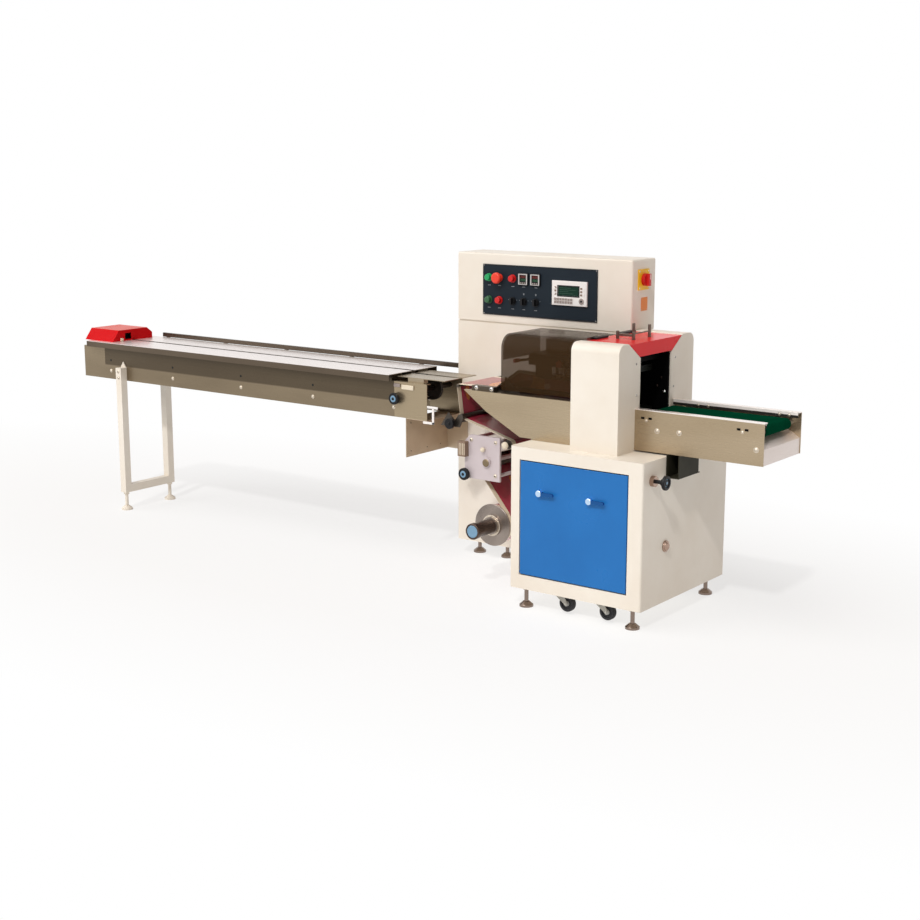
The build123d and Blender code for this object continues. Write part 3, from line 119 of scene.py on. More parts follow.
def sprayedEnamel(name, colour, shade, roughness=0.38, darkerLow=0.0, specular=0.35):
    # two-part enamel sprayed on sheet steel: orange peel of about 2 mm, broad uneven
    # patches of about 400 mm, and a darkening towards the bottom, below 0.5 m
    material, tree, shader, coords = newMaterial(name, Specular_IOR_Level=specular)
    noiseRelief(tree, shader, coords, {"Scale": 420.0}, 0.12, 0.0004)
    cloud = addNode(tree, "TexNoise", {"Scale": 2.6, "Detail": 5.0, "Roughness": 0.6},
        {"Vector": coords})
    tone = addNode(tree, "MapRange", {"From Min": 0.35, "From Max": 0.75},
        {"Value": cloud.outputs["Fac"]})
    parts = addNode(tree, "SeparateXYZ", links={"Vector": coords})
    low = addNode(tree, "MapRange", {"From Min": 0.5, "From Max": 0.0, "To Max": darkerLow},
        {"Value": parts.outputs["Z"]})
    amount = addNode(tree, "Math", links={0: tone.outputs["Result"],
        1: low.outputs["Result"]}, operation="ADD", use_clamp=True)
    mix = addNode(tree, "Mix", {6: linear(colour), 7: linear(shade)},
        {0: amount.outputs[0]}, data_type="RGBA")
    gloss = addNode(tree, "MapRange", {"From Min": 0.3, "From Max": 0.8,
        "To Min": roughness - 0.05, "To Max": roughness + 0.08}, {"Value": cloud.outputs["Fac"]})
    wire(tree, shader, {"Base Color": mix.outputs[2], "Roughness": gloss.outputs["Result"]})
    return material


def brushedSheet(name, colour, shade, roughness=0.3, along=0, metallic=0.8, bands=()):
    # cold-rolled stainless with a brushed grain along one axis, drawn about 1 mm wide so
    # that it shows, long soft smears, and where asked other tones above given heights
    material, tree, shader, coords = newMaterial(name, Metallic=metallic)
    stretch, wide = [900.0] * 3, [3.2] * 3
    stretch[along], wide[along] = 9.0, 0.8
    grain = addNode(tree, "Mapping", {"Scale": stretch}, {"Vector": coords})
    hair = noiseRelief(tree, shader, grain.outputs["Vector"], {"Scale": 1.0, "Detail": 3.0},
        0.1, 0.0003)
    broad = addNode(tree, "Mapping", {"Scale": wide}, {"Vector": coords})
    smear = addNode(tree, "TexNoise", {"Scale": 1.6, "Detail": 4.0},
        {"Vector": broad.outputs["Vector"]})
    tone = addNode(tree, "MapRange", {"From Min": 0.35, "From Max": 0.68},
        {"Value": smear.outputs["Fac"]})
    mix = addNode(tree, "Mix", {6: linear(colour), 7: linear(shade)},
        {0: tone.outputs["Result"]}, data_type="RGBA")
    line = addNode(tree, "MapRange", {"From Min": 0.35, "From Max": 0.7, "To Max": 0.22},
        {"Value": hair})
    worn = addNode(tree, "Mix", {7: linear(shade)},
        {0: line.outputs["Result"], 6: mix.outputs[2]}, data_type="RGBA")
    joinColour(tree, coords, shader, worn.outputs[2], bands)
    gloss = addNode(tree, "MapRange", {"From Min": 0.3, "From Max": 0.75,
        "To Min": roughness - 0.06, "To Max": roughness + 0.1}, {"Value": hair})
    wire(tree, shader, {"Roughness": gloss.outputs["Result"]})
    return material


def polishedMetal(name, colour, roughness=0.12, bands=()):
    # hard chrome, zinc or brass: even, with faint handling marks of about 10 mm
    material, tree, shader, coords = newMaterial(name, Metallic=1.0, Base_Color=linear(colour))
    joinColour(tree, coords, shader, linear(colour), bands)
    marks = addNode(tree, "TexNoise", {"Scale": 95.0, "Detail": 4.0}, {"Vector": coords})
    gloss = addNode(tree, "MapRange", {"From Min": 0.3, "From Max": 0.8,
        "To Min": roughness * 0.7, "To Max": roughness * 1.7}, {"Value": marks.outputs["Fac"]})
    wire(tree, shader, {"Roughness": gloss.outputs["Result"]})
    return material


def mouldedPlastic(name, colour, shade, roughness=0.42, specular=0.35, bands=()):
    # injection-moulded ABS with a fine spark-eroded grain of about 1 mm
    material, tree, shader, coords = newMaterial(name, Roughness=roughness,
        Specular_IOR_Level=specular)
    spark = noiseRelief(tree, shader, coords, {"Scale": 900.0}, 0.15, 0.0002)
    tone = addNode(tree, "MapRange", {"From Min": 0.3, "From Max": 0.8}, {"Value": spark})
    mix = addNode(tree, "Mix", {6: linear(colour), 7: linear(shade)},
        {0: tone.outputs["Result"]}, data_type="RGBA")
    joinColour(tree, coords, shader, mix.outputs[2], bands)
    return material


def castAcrylic(name, colour, alpha, roughness=0.08, specular=0.3, bands=()):
    # bent acrylic sheet, tinted through its thickness, with wiped patches of about 100 mm
    material, tree, shader, coords = newMaterial(name, Base_Color=linear(colour), Alpha=alpha,
        IOR=1.49, Specular_IOR_Level=specular)
    joinColour(tree, coords, shader, linear(colour), bands)
    wipe = addNode(tree, "TexNoise", {"Scale": 9.0, "Detail": 4.0}, {"Vector": coords})
    gloss = addNode(tree, "MapRange", {"From Min": 0.35, "From Max": 0.8,
        "To Min": roughness, "To Max": roughness + 0.12}, {"Value": wipe.outputs["Fac"]})
    wire(tree, shader, {"Roughness": gloss.outputs["Result"]})
    return material


def rubberWheel(name, centre, hubRadius, rubber="#17171A", hub="#B9B9B4"):
    # moulded rubber tread round a pressed hub: the change is at a radius from the axle
    material, tree, shader, coords = newMaterial(name)
    shift = addNode(tree, "VectorMath", {1: centre}, {0: coords}, operation="SUBTRACT")
    flat = addNode(tree, "VectorMath", {1: (1.0, 0.0, 1.0)}, {0: shift.outputs[0]},
        operation="MULTIPLY")
    reach = addNode(tree, "VectorMath", links={0: flat.outputs[0]}, operation="LENGTH")
    edge = addNode(tree, "Math", {1: hubRadius}, {0: reach.outputs["Value"]},
        operation="GREATER_THAN")
    mix = addNode(tree, "Mix", {6: linear(hub), 7: linear(rubber)},
        {0: edge.outputs[0]}, data_type="RGBA")
    gloss = addNode(tree, "MapRange", {"To Min": 0.45, "To Max": 0.72}, {"Value": edge.outputs[0]})
    noiseRelief(tree, shader, coords, {"Scale": 260.0, "Detail": 4.0}, 0.2, 0.0004)
    wire(tree, shader, {"Base Color": mix.outputs[2], "Roughness": gloss.outputs["Result"]})
    return material


printedFilm = {"ground": "#BE2845", "deep": "#82404A", "margin": "#EBDCC2", "accent": "#E0863A",
    "pale": "#E3BCB4", "edge": 0.119, "repeat": 6.5, "foldStart": 0.72, "foldMiddle": 0.81,
    "foldEnd": 0.9, "level": 0.883, "rise": 0.95, "sink": 0.02,
    "blots": ((0.0, 0.64, 0.66, "accent"), (7.3, 0.68, 0.69, "pale"))}


def printedWeb(name, look):
    # printed polypropylene web: crimson ground, plain margins along both edges that meet
    # in the fin, and loose generic patches of orange and cream of 30 to 80 mm
    material, tree, shader, coords = newMaterial(name, Roughness=0.24, Coat_Weight=0.35,
        Coat_Roughness=0.12)
    parts = addNode(tree, "SeparateXYZ", links={"Vector": coords})
    haze = addNode(tree, "TexNoise", {"Scale": 7.0, "Detail": 3.0}, {"Vector": coords})
    surface = addNode(tree, "Mix", {6: linear(look["ground"]), 7: linear(look["deep"])},
        {0: haze.outputs["Fac"]}, data_type="RGBA").outputs[2]
    for shift, low, high, colour in look["blots"]:
        place = addNode(tree, "Mapping", {"Location": (shift, shift, 0.0),
            "Scale": (1.0, 1.6, 1.0)}, {"Vector": coords})
        blot = addNode(tree, "TexNoise", {"Scale": look["repeat"], "Detail": 1.0},
            {"Vector": place.outputs["Vector"]})
        step = addNode(tree, "MapRange", {"From Min": low, "From Max": high},
            {"Value": blot.outputs["Fac"]})
        surface = addNode(tree, "Mix", {7: linear(look[colour])},
            {0: step.outputs["Result"], 6: surface}, data_type="RGBA").outputs[2]
    side = addNode(tree, "Math", links={0: parts.outputs["Y"]}, operation="ABSOLUTE")
    edge = addNode(tree, "Math", {1: look["edge"]}, {0: side.outputs[0]}, operation="GREATER_THAN")
    climb = addNode(tree, "MapRange", {"From Min": look["foldStart"], "To Min": look["level"],
        "From Max": look["foldMiddle"], "To Max": look["rise"]}, {"Value": parts.outputs["X"]})
    fall = addNode(tree, "MapRange", {"From Min": look["foldMiddle"], "From Max": look["foldEnd"],
        "To Max": look["sink"]}, {"Value": parts.outputs["X"]})
    line = addNode(tree, "Math", links={0: climb.outputs["Result"],
        1: fall.outputs["Result"]}, operation="SUBTRACT")
    above = addNode(tree, "Math", links={0: parts.outputs["Z"], 1: line.outputs[0]},
        operation="GREATER_THAN")
    folded = addNode(tree, "Math", {1: look["foldStart"]}, {0: parts.outputs["X"]},
        operation="GREATER_THAN")
    fin = addNode(tree, "Math", links={0: above.outputs[0], 1: folded.outputs[0]},
        operation="MULTIPLY")
    plain = addNode(tree, "Math", links={0: edge.outputs[0], 1: fin.outputs[0]},
        operation="MAXIMUM")
    final = addNode(tree, "Mix", {7: linear(look["margin"])},
        {0: plain.outputs[0], 6: surface}, data_type="RGBA")
    wire(tree, shader, {"Base Color": final.outputs[2]})
    noiseRelief(tree, shader, coords, {"Scale": 16.0, "Detail": 1.0}, 0.25, 0.002)
    return material


def wovenBelt(name, colour, shade):
    # polyurethane conveyor face over a polyester weave, drawn 3 mm wide so that it shows
    material, tree, shader, coords = newMaterial(name, Roughness=0.6, Specular_IOR_Level=0.0)
    weave = addNode(tree, "TexChecker", {"Scale": 330.0, "Color1": (1, 1, 1, 1),
        "Color2": (0.6, 0.6, 0.6, 1)}, {"Vector": coords})
    wear = addNode(tree, "TexNoise", {"Scale": 14.0, "Detail": 4.0}, {"Vector": coords})
    mix = addNode(tree, "Mix", {6: linear(colour), 7: linear(shade)},
        {0: wear.outputs["Fac"]}, data_type="RGBA")
    bump = addNode(tree, "Bump", {"Strength": 0.3, "Distance": 0.0004},
        {"Height": weave.outputs["Fac"]})
    wire(tree, shader, {"Base Color": mix.outputs[2], "Normal": bump.outputs["Normal"]})
    return material


def litSegments(name, colour):
    # light-emitting digits behind a filter: a soft glow with no hard highlight
    material, tree, shader, coords = newMaterial(name, Roughness=0.5, Emission_Strength=0.08,
        Base_Color=linear(colour), Emission_Color=linear(colour))
    noiseRelief(tree, shader, coords, {"Scale": 600.0}, 0.1, 0.0001)
    return material


ivory = sprayedEnamel("ivoryEnamel", "#EDE6DA", "#E4DACB", darkerLow=0.4)
blueDoor = sprayedEnamel("blueEnamel", "#2571B8", "#2168AC", 0.3, 0.2, 0.2)
greyPaint = sprayedEnamel("greyEnamel", "#B1AFA7", "#9C9A90", 0.45)
# near black, for the sheet inside the infeed hood and the rear louvres: painted shade
shadeBlack = sprayedEnamel("plainPaintedShade", "#1A1917", "#121110", 0.4, specular=0.2)
# near black with almost no gloss, for the seal frame inside the tunnel and the outfeed adjuster
# slots: painted shade
deepShadeBlack = sprayedEnamel("deepPaintedShade", "#050505", "#030303", 0.6, specular=0.05)
# dark olive-black all over, for the outfeed support
oliveBlack = sprayedEnamel("outfeedSupportDark", "#38352A", "#2B291F", 0.5, specular=0.1)
panelPaint = sprayedEnamel("panelEnamel", "#1F2830", "#19212A", 0.5, specular=0.12)
plateLilac = sprayedEnamel("plateEnamel", "#CDC2C4", "#BDB1B3", 0.35)
# the side plates are darker above 0.77 m and darker still up to the bed lip: painted shadow of the
# lip; right of x 0.15 m a lighter tone above 0.7 m covers both: painted light where that shadow
# ends
infeedSheet = brushedSheet("infeedSheet", "#90816A", "#7D6F5A", 0.32, bands=(
    {"low": 0.768, "high": 0.774, "amount": 0.74, "colour": "#42372A", "start": -1.845},
    {"low": 0.83, "high": 0.862, "amount": 0.35, "colour": "#2A231B", "start": -1.845},
    {"low": 0.69, "high": 0.7, "colour": "#A39379", "start": 0.15}))
sideSheet = brushedSheet("sideSheet", "#A5967E", "#8D7E68", 0.32)
supportSheet = brushedSheet("supportSheet", "#CFBDA3", "#B9A68C", 0.35, metallic=0.35)
# the side plates' top flanges above 0.866 m are near white: a painted highlight
outfeedSheet = brushedSheet("outfeedSheet", "#B5A389", "#A69479",
    bands=({"low": 0.8655, "high": 0.8665, "colour": "#F4ECE6"},))
guardEndSheet = brushedSheet("endGuardSheet", "#E3D8D2", "#D3C6BE", 0.35, along=1, metallic=0.5)
# the bed sheet is dark brown-grey for the dark reflections in its front lip, and near white on its
# top above 0.894 m for the white surroundings reflected there: painted reflection
bedSheet = brushedSheet("bedSheet", "#655849", "#53473A", 0.32, metallic=0.7,
    bands=({"low": 0.8935, "high": 0.8945, "colour": "#EDE6E3"},))
railSheet = brushedSheet("railSheet", "#5F5346", "#4A4036", metallic=0.7)
guardSheet = brushedSheet("guardSheet", "#B6A58A", "#A39278", 0.22, metallic=0.85)
plateSheet = brushedSheet("transferSheet", "#B5A791", "#968872")
deckSheet = brushedSheet("deckSheet", "#5C5248", "#463E36", 0.35)
# the inner lips are near black below 0.857 m, painted shade under the flanges, and near white
# above, a painted highlight
lipSheet = brushedSheet("lipSheet", "#241F19", "#1A1612", 0.45, metallic=0.3,
    bands=({"low": 0.857, "high": 0.858, "colour": "#FBF4EF"},))
rollerSteel = brushedSheet("rollerSteel", "#5C554D", "#443E38", along=1)
steel = brushedSheet("turnedSteel", "#B1ADA6", "#97938D", along=1, metallic=0.9)
postSteel = brushedSheet("postSteel", "#7C6C62", "#5A4E47", 0.25, along=2, metallic=0.9)
shaftSteel = brushedSheet("shaftSteel", "#5B4C44", "#43372F", 0.28, along=1)
discSteel = brushedSheet("discSteel", "#A89C93", "#7C726B", along=1, metallic=0.85)
# dark steel; on the upper infeed screws, in the painted shadow under the bed lip, its darkness is
# painted shade as well
darkSteel = brushedSheet("darkSteelAndShade", "#1F221C", "#161814", 0.4, metallic=0.6)
chainSteel = brushedSheet("chainSteel", "#2E2822", "#1E1A16", 0.5, metallic=0.5)
footSteel = polishedMetal("turnedFoot", "#8A7A70")
chrome = polishedMetal("hardChrome", "#DBD9D6")
# the latch chrome is pale blue, a painted reflection of the blue door, which makes each boss a
# painted highlight; right of it the lever is dark blue: painted shade
latchPaintedTones = (("#2A5A96", 1.125), ("#C4DCF4", 1.3), ("#2A5A96", 1.367))
latchPaintedLight = polishedMetal("latchChromePaintedLight", "#C4DCF4", 0.16, bands=[
    {"low": 0.4, "high": 0.41, "colour": tone, "start": start} for tone, start in latchPaintedTones])
bossMetal = polishedMetal("bossMetal", "#A88F80", 0.16)
zinc = polishedMetal("zincPlate", "#D3C7B6", 0.3)
brass = polishedMetal("agedBrass", "#84745C", 0.4)
redSheet = castAcrylic("redAcrylic", "#EA1C22", 1.0, 0.2, 0.15)
# the hood's top face above 0.953 m is light pink: a painted highlight
hoodRed = castAcrylic("infeedHoodRed", "#CC1217", 1.0, 0.3, 0.04,
    bands=({"low": 0.953, "high": 0.9535, "colour": "#E46B62"},))
smoked = castAcrylic("smokedAcrylic", "#402E1B", 0.64, 0.08, 0.03)
blackPlastic = mouldedPlastic("blackAbs", "#141416", "#0C0C0E", specular=0.25)
redPlastic = mouldedPlastic("redAbs", "#D3201F", "#BE1A1C", 0.28)
orangePlastic = mouldedPlastic("orangeAbs", "#EE4630", "#DE3A26", 0.28)
greenPlastic = mouldedPlastic("greenAbs", "#24A862", "#1C9456", 0.28,
    bands=({"low": 1.28, "high": 1.27, "amount": 0.8, "colour": "#3A4A38"},))
yellowPlastic = mouldedPlastic("yellowAbs", "#F8C41A", "#EBB713", 0.4)
whitePlastic = mouldedPlastic("whiteAbs", "#F3EFEC", "#E8E3DF", 0.45)
lightPlastic = mouldedPlastic("lightGreyAbs", "#C9C6C4", "#BBB7B5", 0.45)
markPaint = mouldedPlastic("markPaint", "#868B90", "#72777C", 0.5)
keyPlastic = mouldedPlastic("keyAbs", "#A39792", "#93867F", 0.45)
bluePlastic = mouldedPlastic("paleBlueAbs", "#7A9FBA", "#6A8FAA", 0.3)
creamPlastic = mouldedPlastic("creamAbs", "#E6DAC4", "#D8CAB2", 0.4)
brownPlastic = mouldedPlastic("brownAbs", "#8C7563", "#786353", 0.45)
amberPlastic = mouldedPlastic("amberAbs", "#E8862C", "#D97A25", 0.4)
screenGlass = mouldedPlastic("displayGlass", "#0E3527", "#0B2E21", 0.2, 0.15)
beltFace = wovenBelt("greenBelt", "#04472F", "#033522")
screenMark = mouldedPlastic("displayMark", "#17402F", "#133828", 0.3)
filmWeb = printedWeb("printedFilm", printedFilm)
redDigits = litSegments("redDigits", "#8A2A22")
greenDigits = litSegments("greenDigits", "#2C6A44")

finishes = {"cream_paint": ivory, "blue_paint": blueDoor, "grey_paint": greyPaint,
    "panel_face": panelPaint, "stainless": sideSheet, "machined_steel": steel,
    "red_sheet": redSheet, "smoked_sheet": smoked, "black_plastic": blackPlastic,
    "red_plastic": redPlastic, "orange_plastic": orangePlastic, "green_plastic": greenPlastic,
    "yellow_plastic": yellowPlastic, "screen_glass": screenGlass, "green_belt": beltFace,
    "black_rubber": blackPlastic, "film": filmWeb}
# nodes whose finish isn't the usual one of their slot
ownFinish = {"infeed_frame": infeedSheet, "infeed_beds": bedSheet, "infeed_support": supportSheet,
    "guard_plate": guardSheet, "transfer_plates": plateSheet, "forming_box": deckSheet,
    "seal_frame": deepShadeBlack, "seal_jaws": darkSteel, "fin_seal_unit": darkSteel,
    "film_bracket": plateLilac, "film_rollers": rollerSteel, "film_discs": discSteel,
    "film_shaft": shaftSteel, "outfeed_side_plates": outfeedSheet,
    "outfeed_end_guard": guardEndSheet, "outfeed_support": oliveBlack,
    "infeed_chain": chainSteel, "smoked_hood_hinges": darkSteel, "handwheel": blackPlastic,
    "side_bosses": bossMetal, "levelling_feet": footSteel, "pressure_posts": postSteel,
    "left_door_latch": latchPaintedLight, "right_door_latch": latchPaintedLight,
    "operator_terminal": whitePlastic}


def paint(obj, material):
    if not obj.data.materials:
        obj.data.materials.append(material)
    for slot in obj.material_slots:
        slot.material = material


for part in frame["record"]["subparts"]:
    name = part["node"]
    paint(nodes[name], ownFinish.get(name) or finishes[part["material_slot"]])
hubRadius = 0.0115
for name in [n for n in nodes if n.endswith("_castor_wheel")]:
    low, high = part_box(name)
    paint(nodes[name], rubberWheel(name + "Finish", (low + high) / 2, hubRadius))
print("stage: finishes on the nodes")


def put(name, data):
    obj = bpy.data.objects.new(name, data)
    scene.collection.objects.link(obj)
    return obj


def pieceFrom(name, shape, material, body="machine"):
    mesh = bpy.data.meshes.new(name)
    shape.to_mesh(mesh)
    shape.free()
    mesh.materials.append(material)
    obj = put(name, mesh)
    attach(obj, body)
    return obj


def plates(name, boxes, material, edge=0.6, body="machine"):
    # small raised plates and bars with rounded edges, as one mesh; sizes in millimetres
    whole = bmesh.new()
    for x0, x1, y0, y1, z0, z1 in boxes:
        size = (x1 - x0, y1 - y0, z1 - z0)
        place = Matrix.LocRotScale(Vector(((x0 + x1) / 2, (y0 + y1) / 2, (z0 + z1) / 2)) * mm,
            None, Vector(size) * mm)
        made = bmesh.ops.create_cube(whole, size=1.0, matrix=place)["verts"]
        edges = {e for v in made for e in v.link_edges}
        width = min(edge, min(size) * 0.4) * mm
        bmesh.ops.bevel(whole, geom=list(edges), offset=width, segments=2, affect="EDGES",
            profile=0.5)
    return pieceFrom(name, whole, material, body)


outward = {"-Y": (0, -1, 0), "+X": (1, 0, 0)}


def turned(name, places, profile, facing, material, body="machine", sides=28):
    # a lathe profile of (radius, height) pairs, closed at both ends, set down at each place
    whole = bmesh.new()
    turn = Vector((0, 0, 1)).rotation_difference(Vector(outward[facing])).to_matrix()
    for place in places:
        rings = []
        for radius, height in profile:
            angles = (2 * math.pi * i / sides for i in range(sides))
            around = [Vector((radius * math.cos(a), radius * math.sin(a), height)) for a in angles]
            rings.append([whole.verts.new(turn @ v * mm + Vector(place) * mm) for v in around])
        for lower, upper in zip(rings, rings[1:]):
            for i in range(sides):
                j = (i + 1) % sides
                whole.faces.new((lower[i], lower[j], upper[j], upper[i]))
        whole.faces.new(rings[0][::-1])
        whole.faces.new(rings[-1])
    return pieceFrom(name, whole, material, body)


def newTree(name, **inputs):
    tree = bpy.data.node_groups.new(name, "GeometryNodeTree")
    for kind, labels in (("Geometry", ("Geometry",)), *inputs.items()):
        for label in labels:
            tree.interface.new_socket(label, in_out="INPUT", socket_type="NodeSocket" + kind)
    tree.interface.new_socket("Geometry", in_out="OUTPUT", socket_type="NodeSocketGeometry")
    return tree, tree.nodes.new("NodeGroupInput").outputs


def endTree(tree, geometry, finish):
    # every tree ends in real geometry with its finish
    whole = addNode(tree, "GeometryNodeRealizeInstances", links={"Geometry": geometry})
    dressed = addNode(tree, "GeometryNodeSetMaterial",
        links={"Geometry": whole.outputs["Geometry"], "Material": finish})
    return dressed.outputs["Geometry"]


def grow(name, tree, points, values, body):
    # runs a tree on a handful of points and keeps the result as a plain mesh
    seed = bpy.data.meshes.new(name)
    seed.from_pydata([Vector(p) * mm for p in points], [], [])
    obj = put(name, seed)
    modifier = obj.modifiers.new("make", "NODES")
    modifier.node_group = tree
    for item in tree.interface.items_tree:
        if item.in_out == "INPUT" and item.name in values:
            modifier[item.identifier] = values[item.name]
    ready = obj.evaluated_get(bpy.context.evaluated_depsgraph_get())
    result = bpy.data.meshes.new_from_object(ready)
    obj.modifiers.clear()
    obj.data = result
    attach(obj, body)
    return obj


def buildScrewTree():
    # button-head screw: washer, low dome and a hexagon with its own finish, at each point; where
    # the hexagon is black it is painted shade for the hex socket
    tree, given = newTree("screwHeads", Float=("Head Radius", "Head Height"), Vector=("Turn",),
        Material=("Finish", "Socket Finish"))
    scaled = {}
    for label, source, factor in (("washer", "Head Radius", 1.3), ("thin", "Head Height", 0.3),
            ("socket", "Head Radius", 0.46), ("tall", "Head Height", 2.04)):
        scaled[label] = addNode(tree, "Math", {1: factor}, {0: given[source]},
            operation="MULTIPLY").outputs[0]
    washer = addNode(tree, "GeometryNodeMeshCylinder", {"Vertices": 20},
        {"Radius": scaled["washer"], "Depth": scaled["thin"]})
    dome = addNode(tree, "GeometryNodeMeshUVSphere", {"Segments": 16, "Rings": 8})
    shape = addNode(tree, "CombineXYZ", links={"X": given["Head Radius"],
        "Y": given["Head Radius"], "Z": given["Head Height"]})
    low = addNode(tree, "GeometryNodeTransform", links={"Geometry": dome.outputs["Mesh"],
        "Scale": shape.outputs["Vector"]})
    head = addNode(tree, "GeometryNodeJoinGeometry")
    for source in (washer.outputs["Mesh"], low.outputs["Geometry"]):
        wire(tree, head, {"Geometry": source})
    socket = addNode(tree, "GeometryNodeMeshCylinder", {"Vertices": 6},
        {"Radius": scaled["socket"], "Depth": scaled["tall"]})
    marked = addNode(tree, "GeometryNodeStoreNamedAttribute", {"Name": "recess", "Value": True},
        {"Geometry": socket.outputs["Mesh"]}, data_type="BOOLEAN", domain="FACE")
    screw = addNode(tree, "GeometryNodeJoinGeometry")
    for source in (head.outputs["Geometry"], marked.outputs["Geometry"]):
        wire(tree, screw, {"Geometry": source})
    points = addNode(tree, "GeometryNodeMeshToPoints", links={"Mesh": given["Geometry"]})
    copies = addNode(tree, "GeometryNodeInstanceOnPoints", links={
        "Points": points.outputs["Points"], "Instance": screw.outputs["Geometry"],
        "Rotation": given["Turn"]})
    dressed = endTree(tree, copies.outputs["Instances"], given["Finish"])
    recess = addNode(tree, "GeometryNodeInputNamedAttribute", {"Name": "recess"},
        data_type="BOOLEAN")
    final = addNode(tree, "GeometryNodeSetMaterial", links={"Geometry": dressed,
        "Selection": recess.outputs["Attribute"], "Material": given["Socket Finish"]})
    addNode(tree, "NodeGroupOutput", links={"Geometry": final.outputs["Geometry"]})
    return tree


screwTree = buildScrewTree()
facingTurn = {"-Y": (math.pi / 2, 0, 0), "+Y": (-math.pi / 2, 0, 0), "+X": (0, math.pi / 2, 0),
    "-X": (0, -math.pi / 2, 0)}


def screws(name, points, facing, radius, height, finish, body="machine", recess=None):
    # sizes in millimetres; the hexagon is black, painted shade for the socket, unless recess names
    # a finish
    values = {"Head Radius": radius * mm, "Head Height": height * mm, "Turn": facingTurn[facing],
        "Finish": finish, "Socket Finish": recess or blackPlastic}
    return grow(name, screwTree, points, values, body)


# label, sign of y and facing
sides = (("Front", -1, "-Y"), ("Back", 1, "+Y"))

# infeed conveyor: two rows of side screws, leg bolts, a cover block, its tab and a hook
infeed = {"half": 133.5, "screwZ": 741, "screwX": (-1798, -1322, -832, -352, 147), "upperZ": 797,
    "leg": ((-1697, -173.5, 715), (-1697, -173.5, 748)),
    "block": (196, 265, -139.5, -133.5, 828, 850), "tab": (150, 186, -138, -133.5, 836, 852),
    "hook": ((339, 400, -133.5, -130, 754, 765), (367, 379, -133.5, -130, 682, 757),
        (316, 379, -133.5, -130, 682, 693))}
for label, side, facing in sides:
    y = side * infeed["half"]
    screws("infeedScrews" + label, [(x, y, infeed["screwZ"]) for x in infeed["screwX"]], facing,
        7.5, 5.5, zinc, recess=zinc)
    # the upper row sits in the painted shadow under the bed lip and is drawn in dark steel: painted
    # shade
    screws("infeedUpperScrews" + label, [(x, y, infeed["upperZ"]) for x in infeed["screwX"][:-1]],
        facing, 4.5, 2, darkSteel)
screws("legBolts", infeed["leg"], "-Y", 7, 4, zinc)
plates("sideCoverBlock", [infeed["block"]], creamPlastic, 2.5)
plates("sideCoverTab", [infeed["tab"]], keyPlastic, 1.5)
plates("sideHook", infeed["hook"], whitePlastic, 1.0)

# red hood over the start of the chain: sloped front, chamfered back, window in the end wall
hood = {"start": -1985, "end": -1765, "sheet": 3.5, "base": 896.0,
    "section": ((-144, 896), (-98, 954), (96, 954), (132, 926), (132, 896)),
    "window": (-58, -14, 903, 936), "dark": (-1800, -1797, -86, 84, 898, 940),
    "catch": ((-1765, -1757, -92, -76, 897, 912), (-1757, -1752, -89, -79, 900, 909))}


def foldedHood(look):
    # outer and inner sections joined as a closed sheet, with an end wall at each end
    whole = bmesh.new()
    outer = [Vector(p) for p in look["section"]]
    thick = look["sheet"]
    normals = []
    for a, b in zip(outer, outer[1:]):
        run = (b - a).normalized()
        normals.append(Vector((run.y, -run.x)))
    inner = []
    for i, point in enumerate(outer):
        first, last = normals[max(i - 1, 0)], normals[min(i, len(normals) - 1)]
        middle = (first + last).normalized()
        inner.append(point + middle * thick / max(middle.dot(first), 0.3))
    inner[0].y = inner[-1].y = look["base"]
    ring = outer + inner[::-1]
    ends = [[whole.verts.new(Vector((x, p.x, p.y)) * mm) for p in ring]
        for x in (look["start"], look["end"])]
    count = len(ring)
    for i in range(count):
        j = (i + 1) % count
        whole.faces.new((ends[0][i], ends[0][j], ends[1][j], ends[1][i]))
    for end in ends:
        for i in range(len(outer) - 1):
            whole.faces.new((end[i], end[i + 1], end[count - 2 - i], end[count - 1 - i]))
    y0, y1, z0, z1 = look["window"]
    hole = [(y0, z0), (y1, z0), (y1, z1), (y0, z1)]
    for x, side, loops in ((look["start"], 1, [inner]), (look["end"], -1, [inner, hole])):
        edges = []
        for loop in loops:
            corners = [whole.verts.new(Vector((x, p[0], p[1])) * mm) for p in loop]
            edges += [whole.edges.new((a, b)) for a, b in zip(corners, corners[1:] + corners[:1])]
        made = bmesh.ops.triangle_fill(whole, use_beauty=True, edges=edges)["geom"]
        faces = [f for f in made if isinstance(f, bmesh.types.BMFace)]
        grown = bmesh.ops.extrude_face_region(whole, geom=faces)["geom"]
        moved = [v for v in grown if isinstance(v, bmesh.types.BMVert)]
        bmesh.ops.translate(whole, vec=Vector((side * thick, 0, 0)) * mm, verts=moved)
        if side == 1:
            bmesh.ops.reverse_faces(whole, faces=faces)
    bmesh.ops.recalc_face_normals(whole, faces=whole.faces[:])
    return pieceFrom("infeedHoodSheet", whole, hoodRed)


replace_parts(foldedHood(hood), "infeed_hood")
# a black sheet inside the hood, behind the window in its end wall: painted shade
plates("hoodShadeSheet", [hood["dark"]], shadeBlack, 0.5)
plates("hoodCatch", hood["catch"], creamPlastic, 1.5)

# guide rail: folded strip along the back of the bed, on low stands, lower than the solid
rail = {"start": -1740, "end": 278, "y": 186, "low": 896.4, "top": 918, "fold": 200, "sheet": 3,
    "stands": (-1692, -1254.25, -816.5, -378.75, 59), "standHalf": 12,
    "foot": (178, 186.2, 868, 897)}
y, top, thick = rail["y"], rail["top"], rail["sheet"]
bars = [(rail["start"], rail["end"], y, y + thick, rail["low"], top),
    (rail["start"], rail["end"], y, rail["fold"], top - thick, top)]
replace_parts(plates("guideRailStrip", bars, railSheet, 0.8), "infeed_guide_rail")
half = rail["standHalf"]
stands = [(x - half, x + half, *rail["foot"]) for x in rail["stands"]]
plates("guideRailStands", stands, railSheet, 0.8)


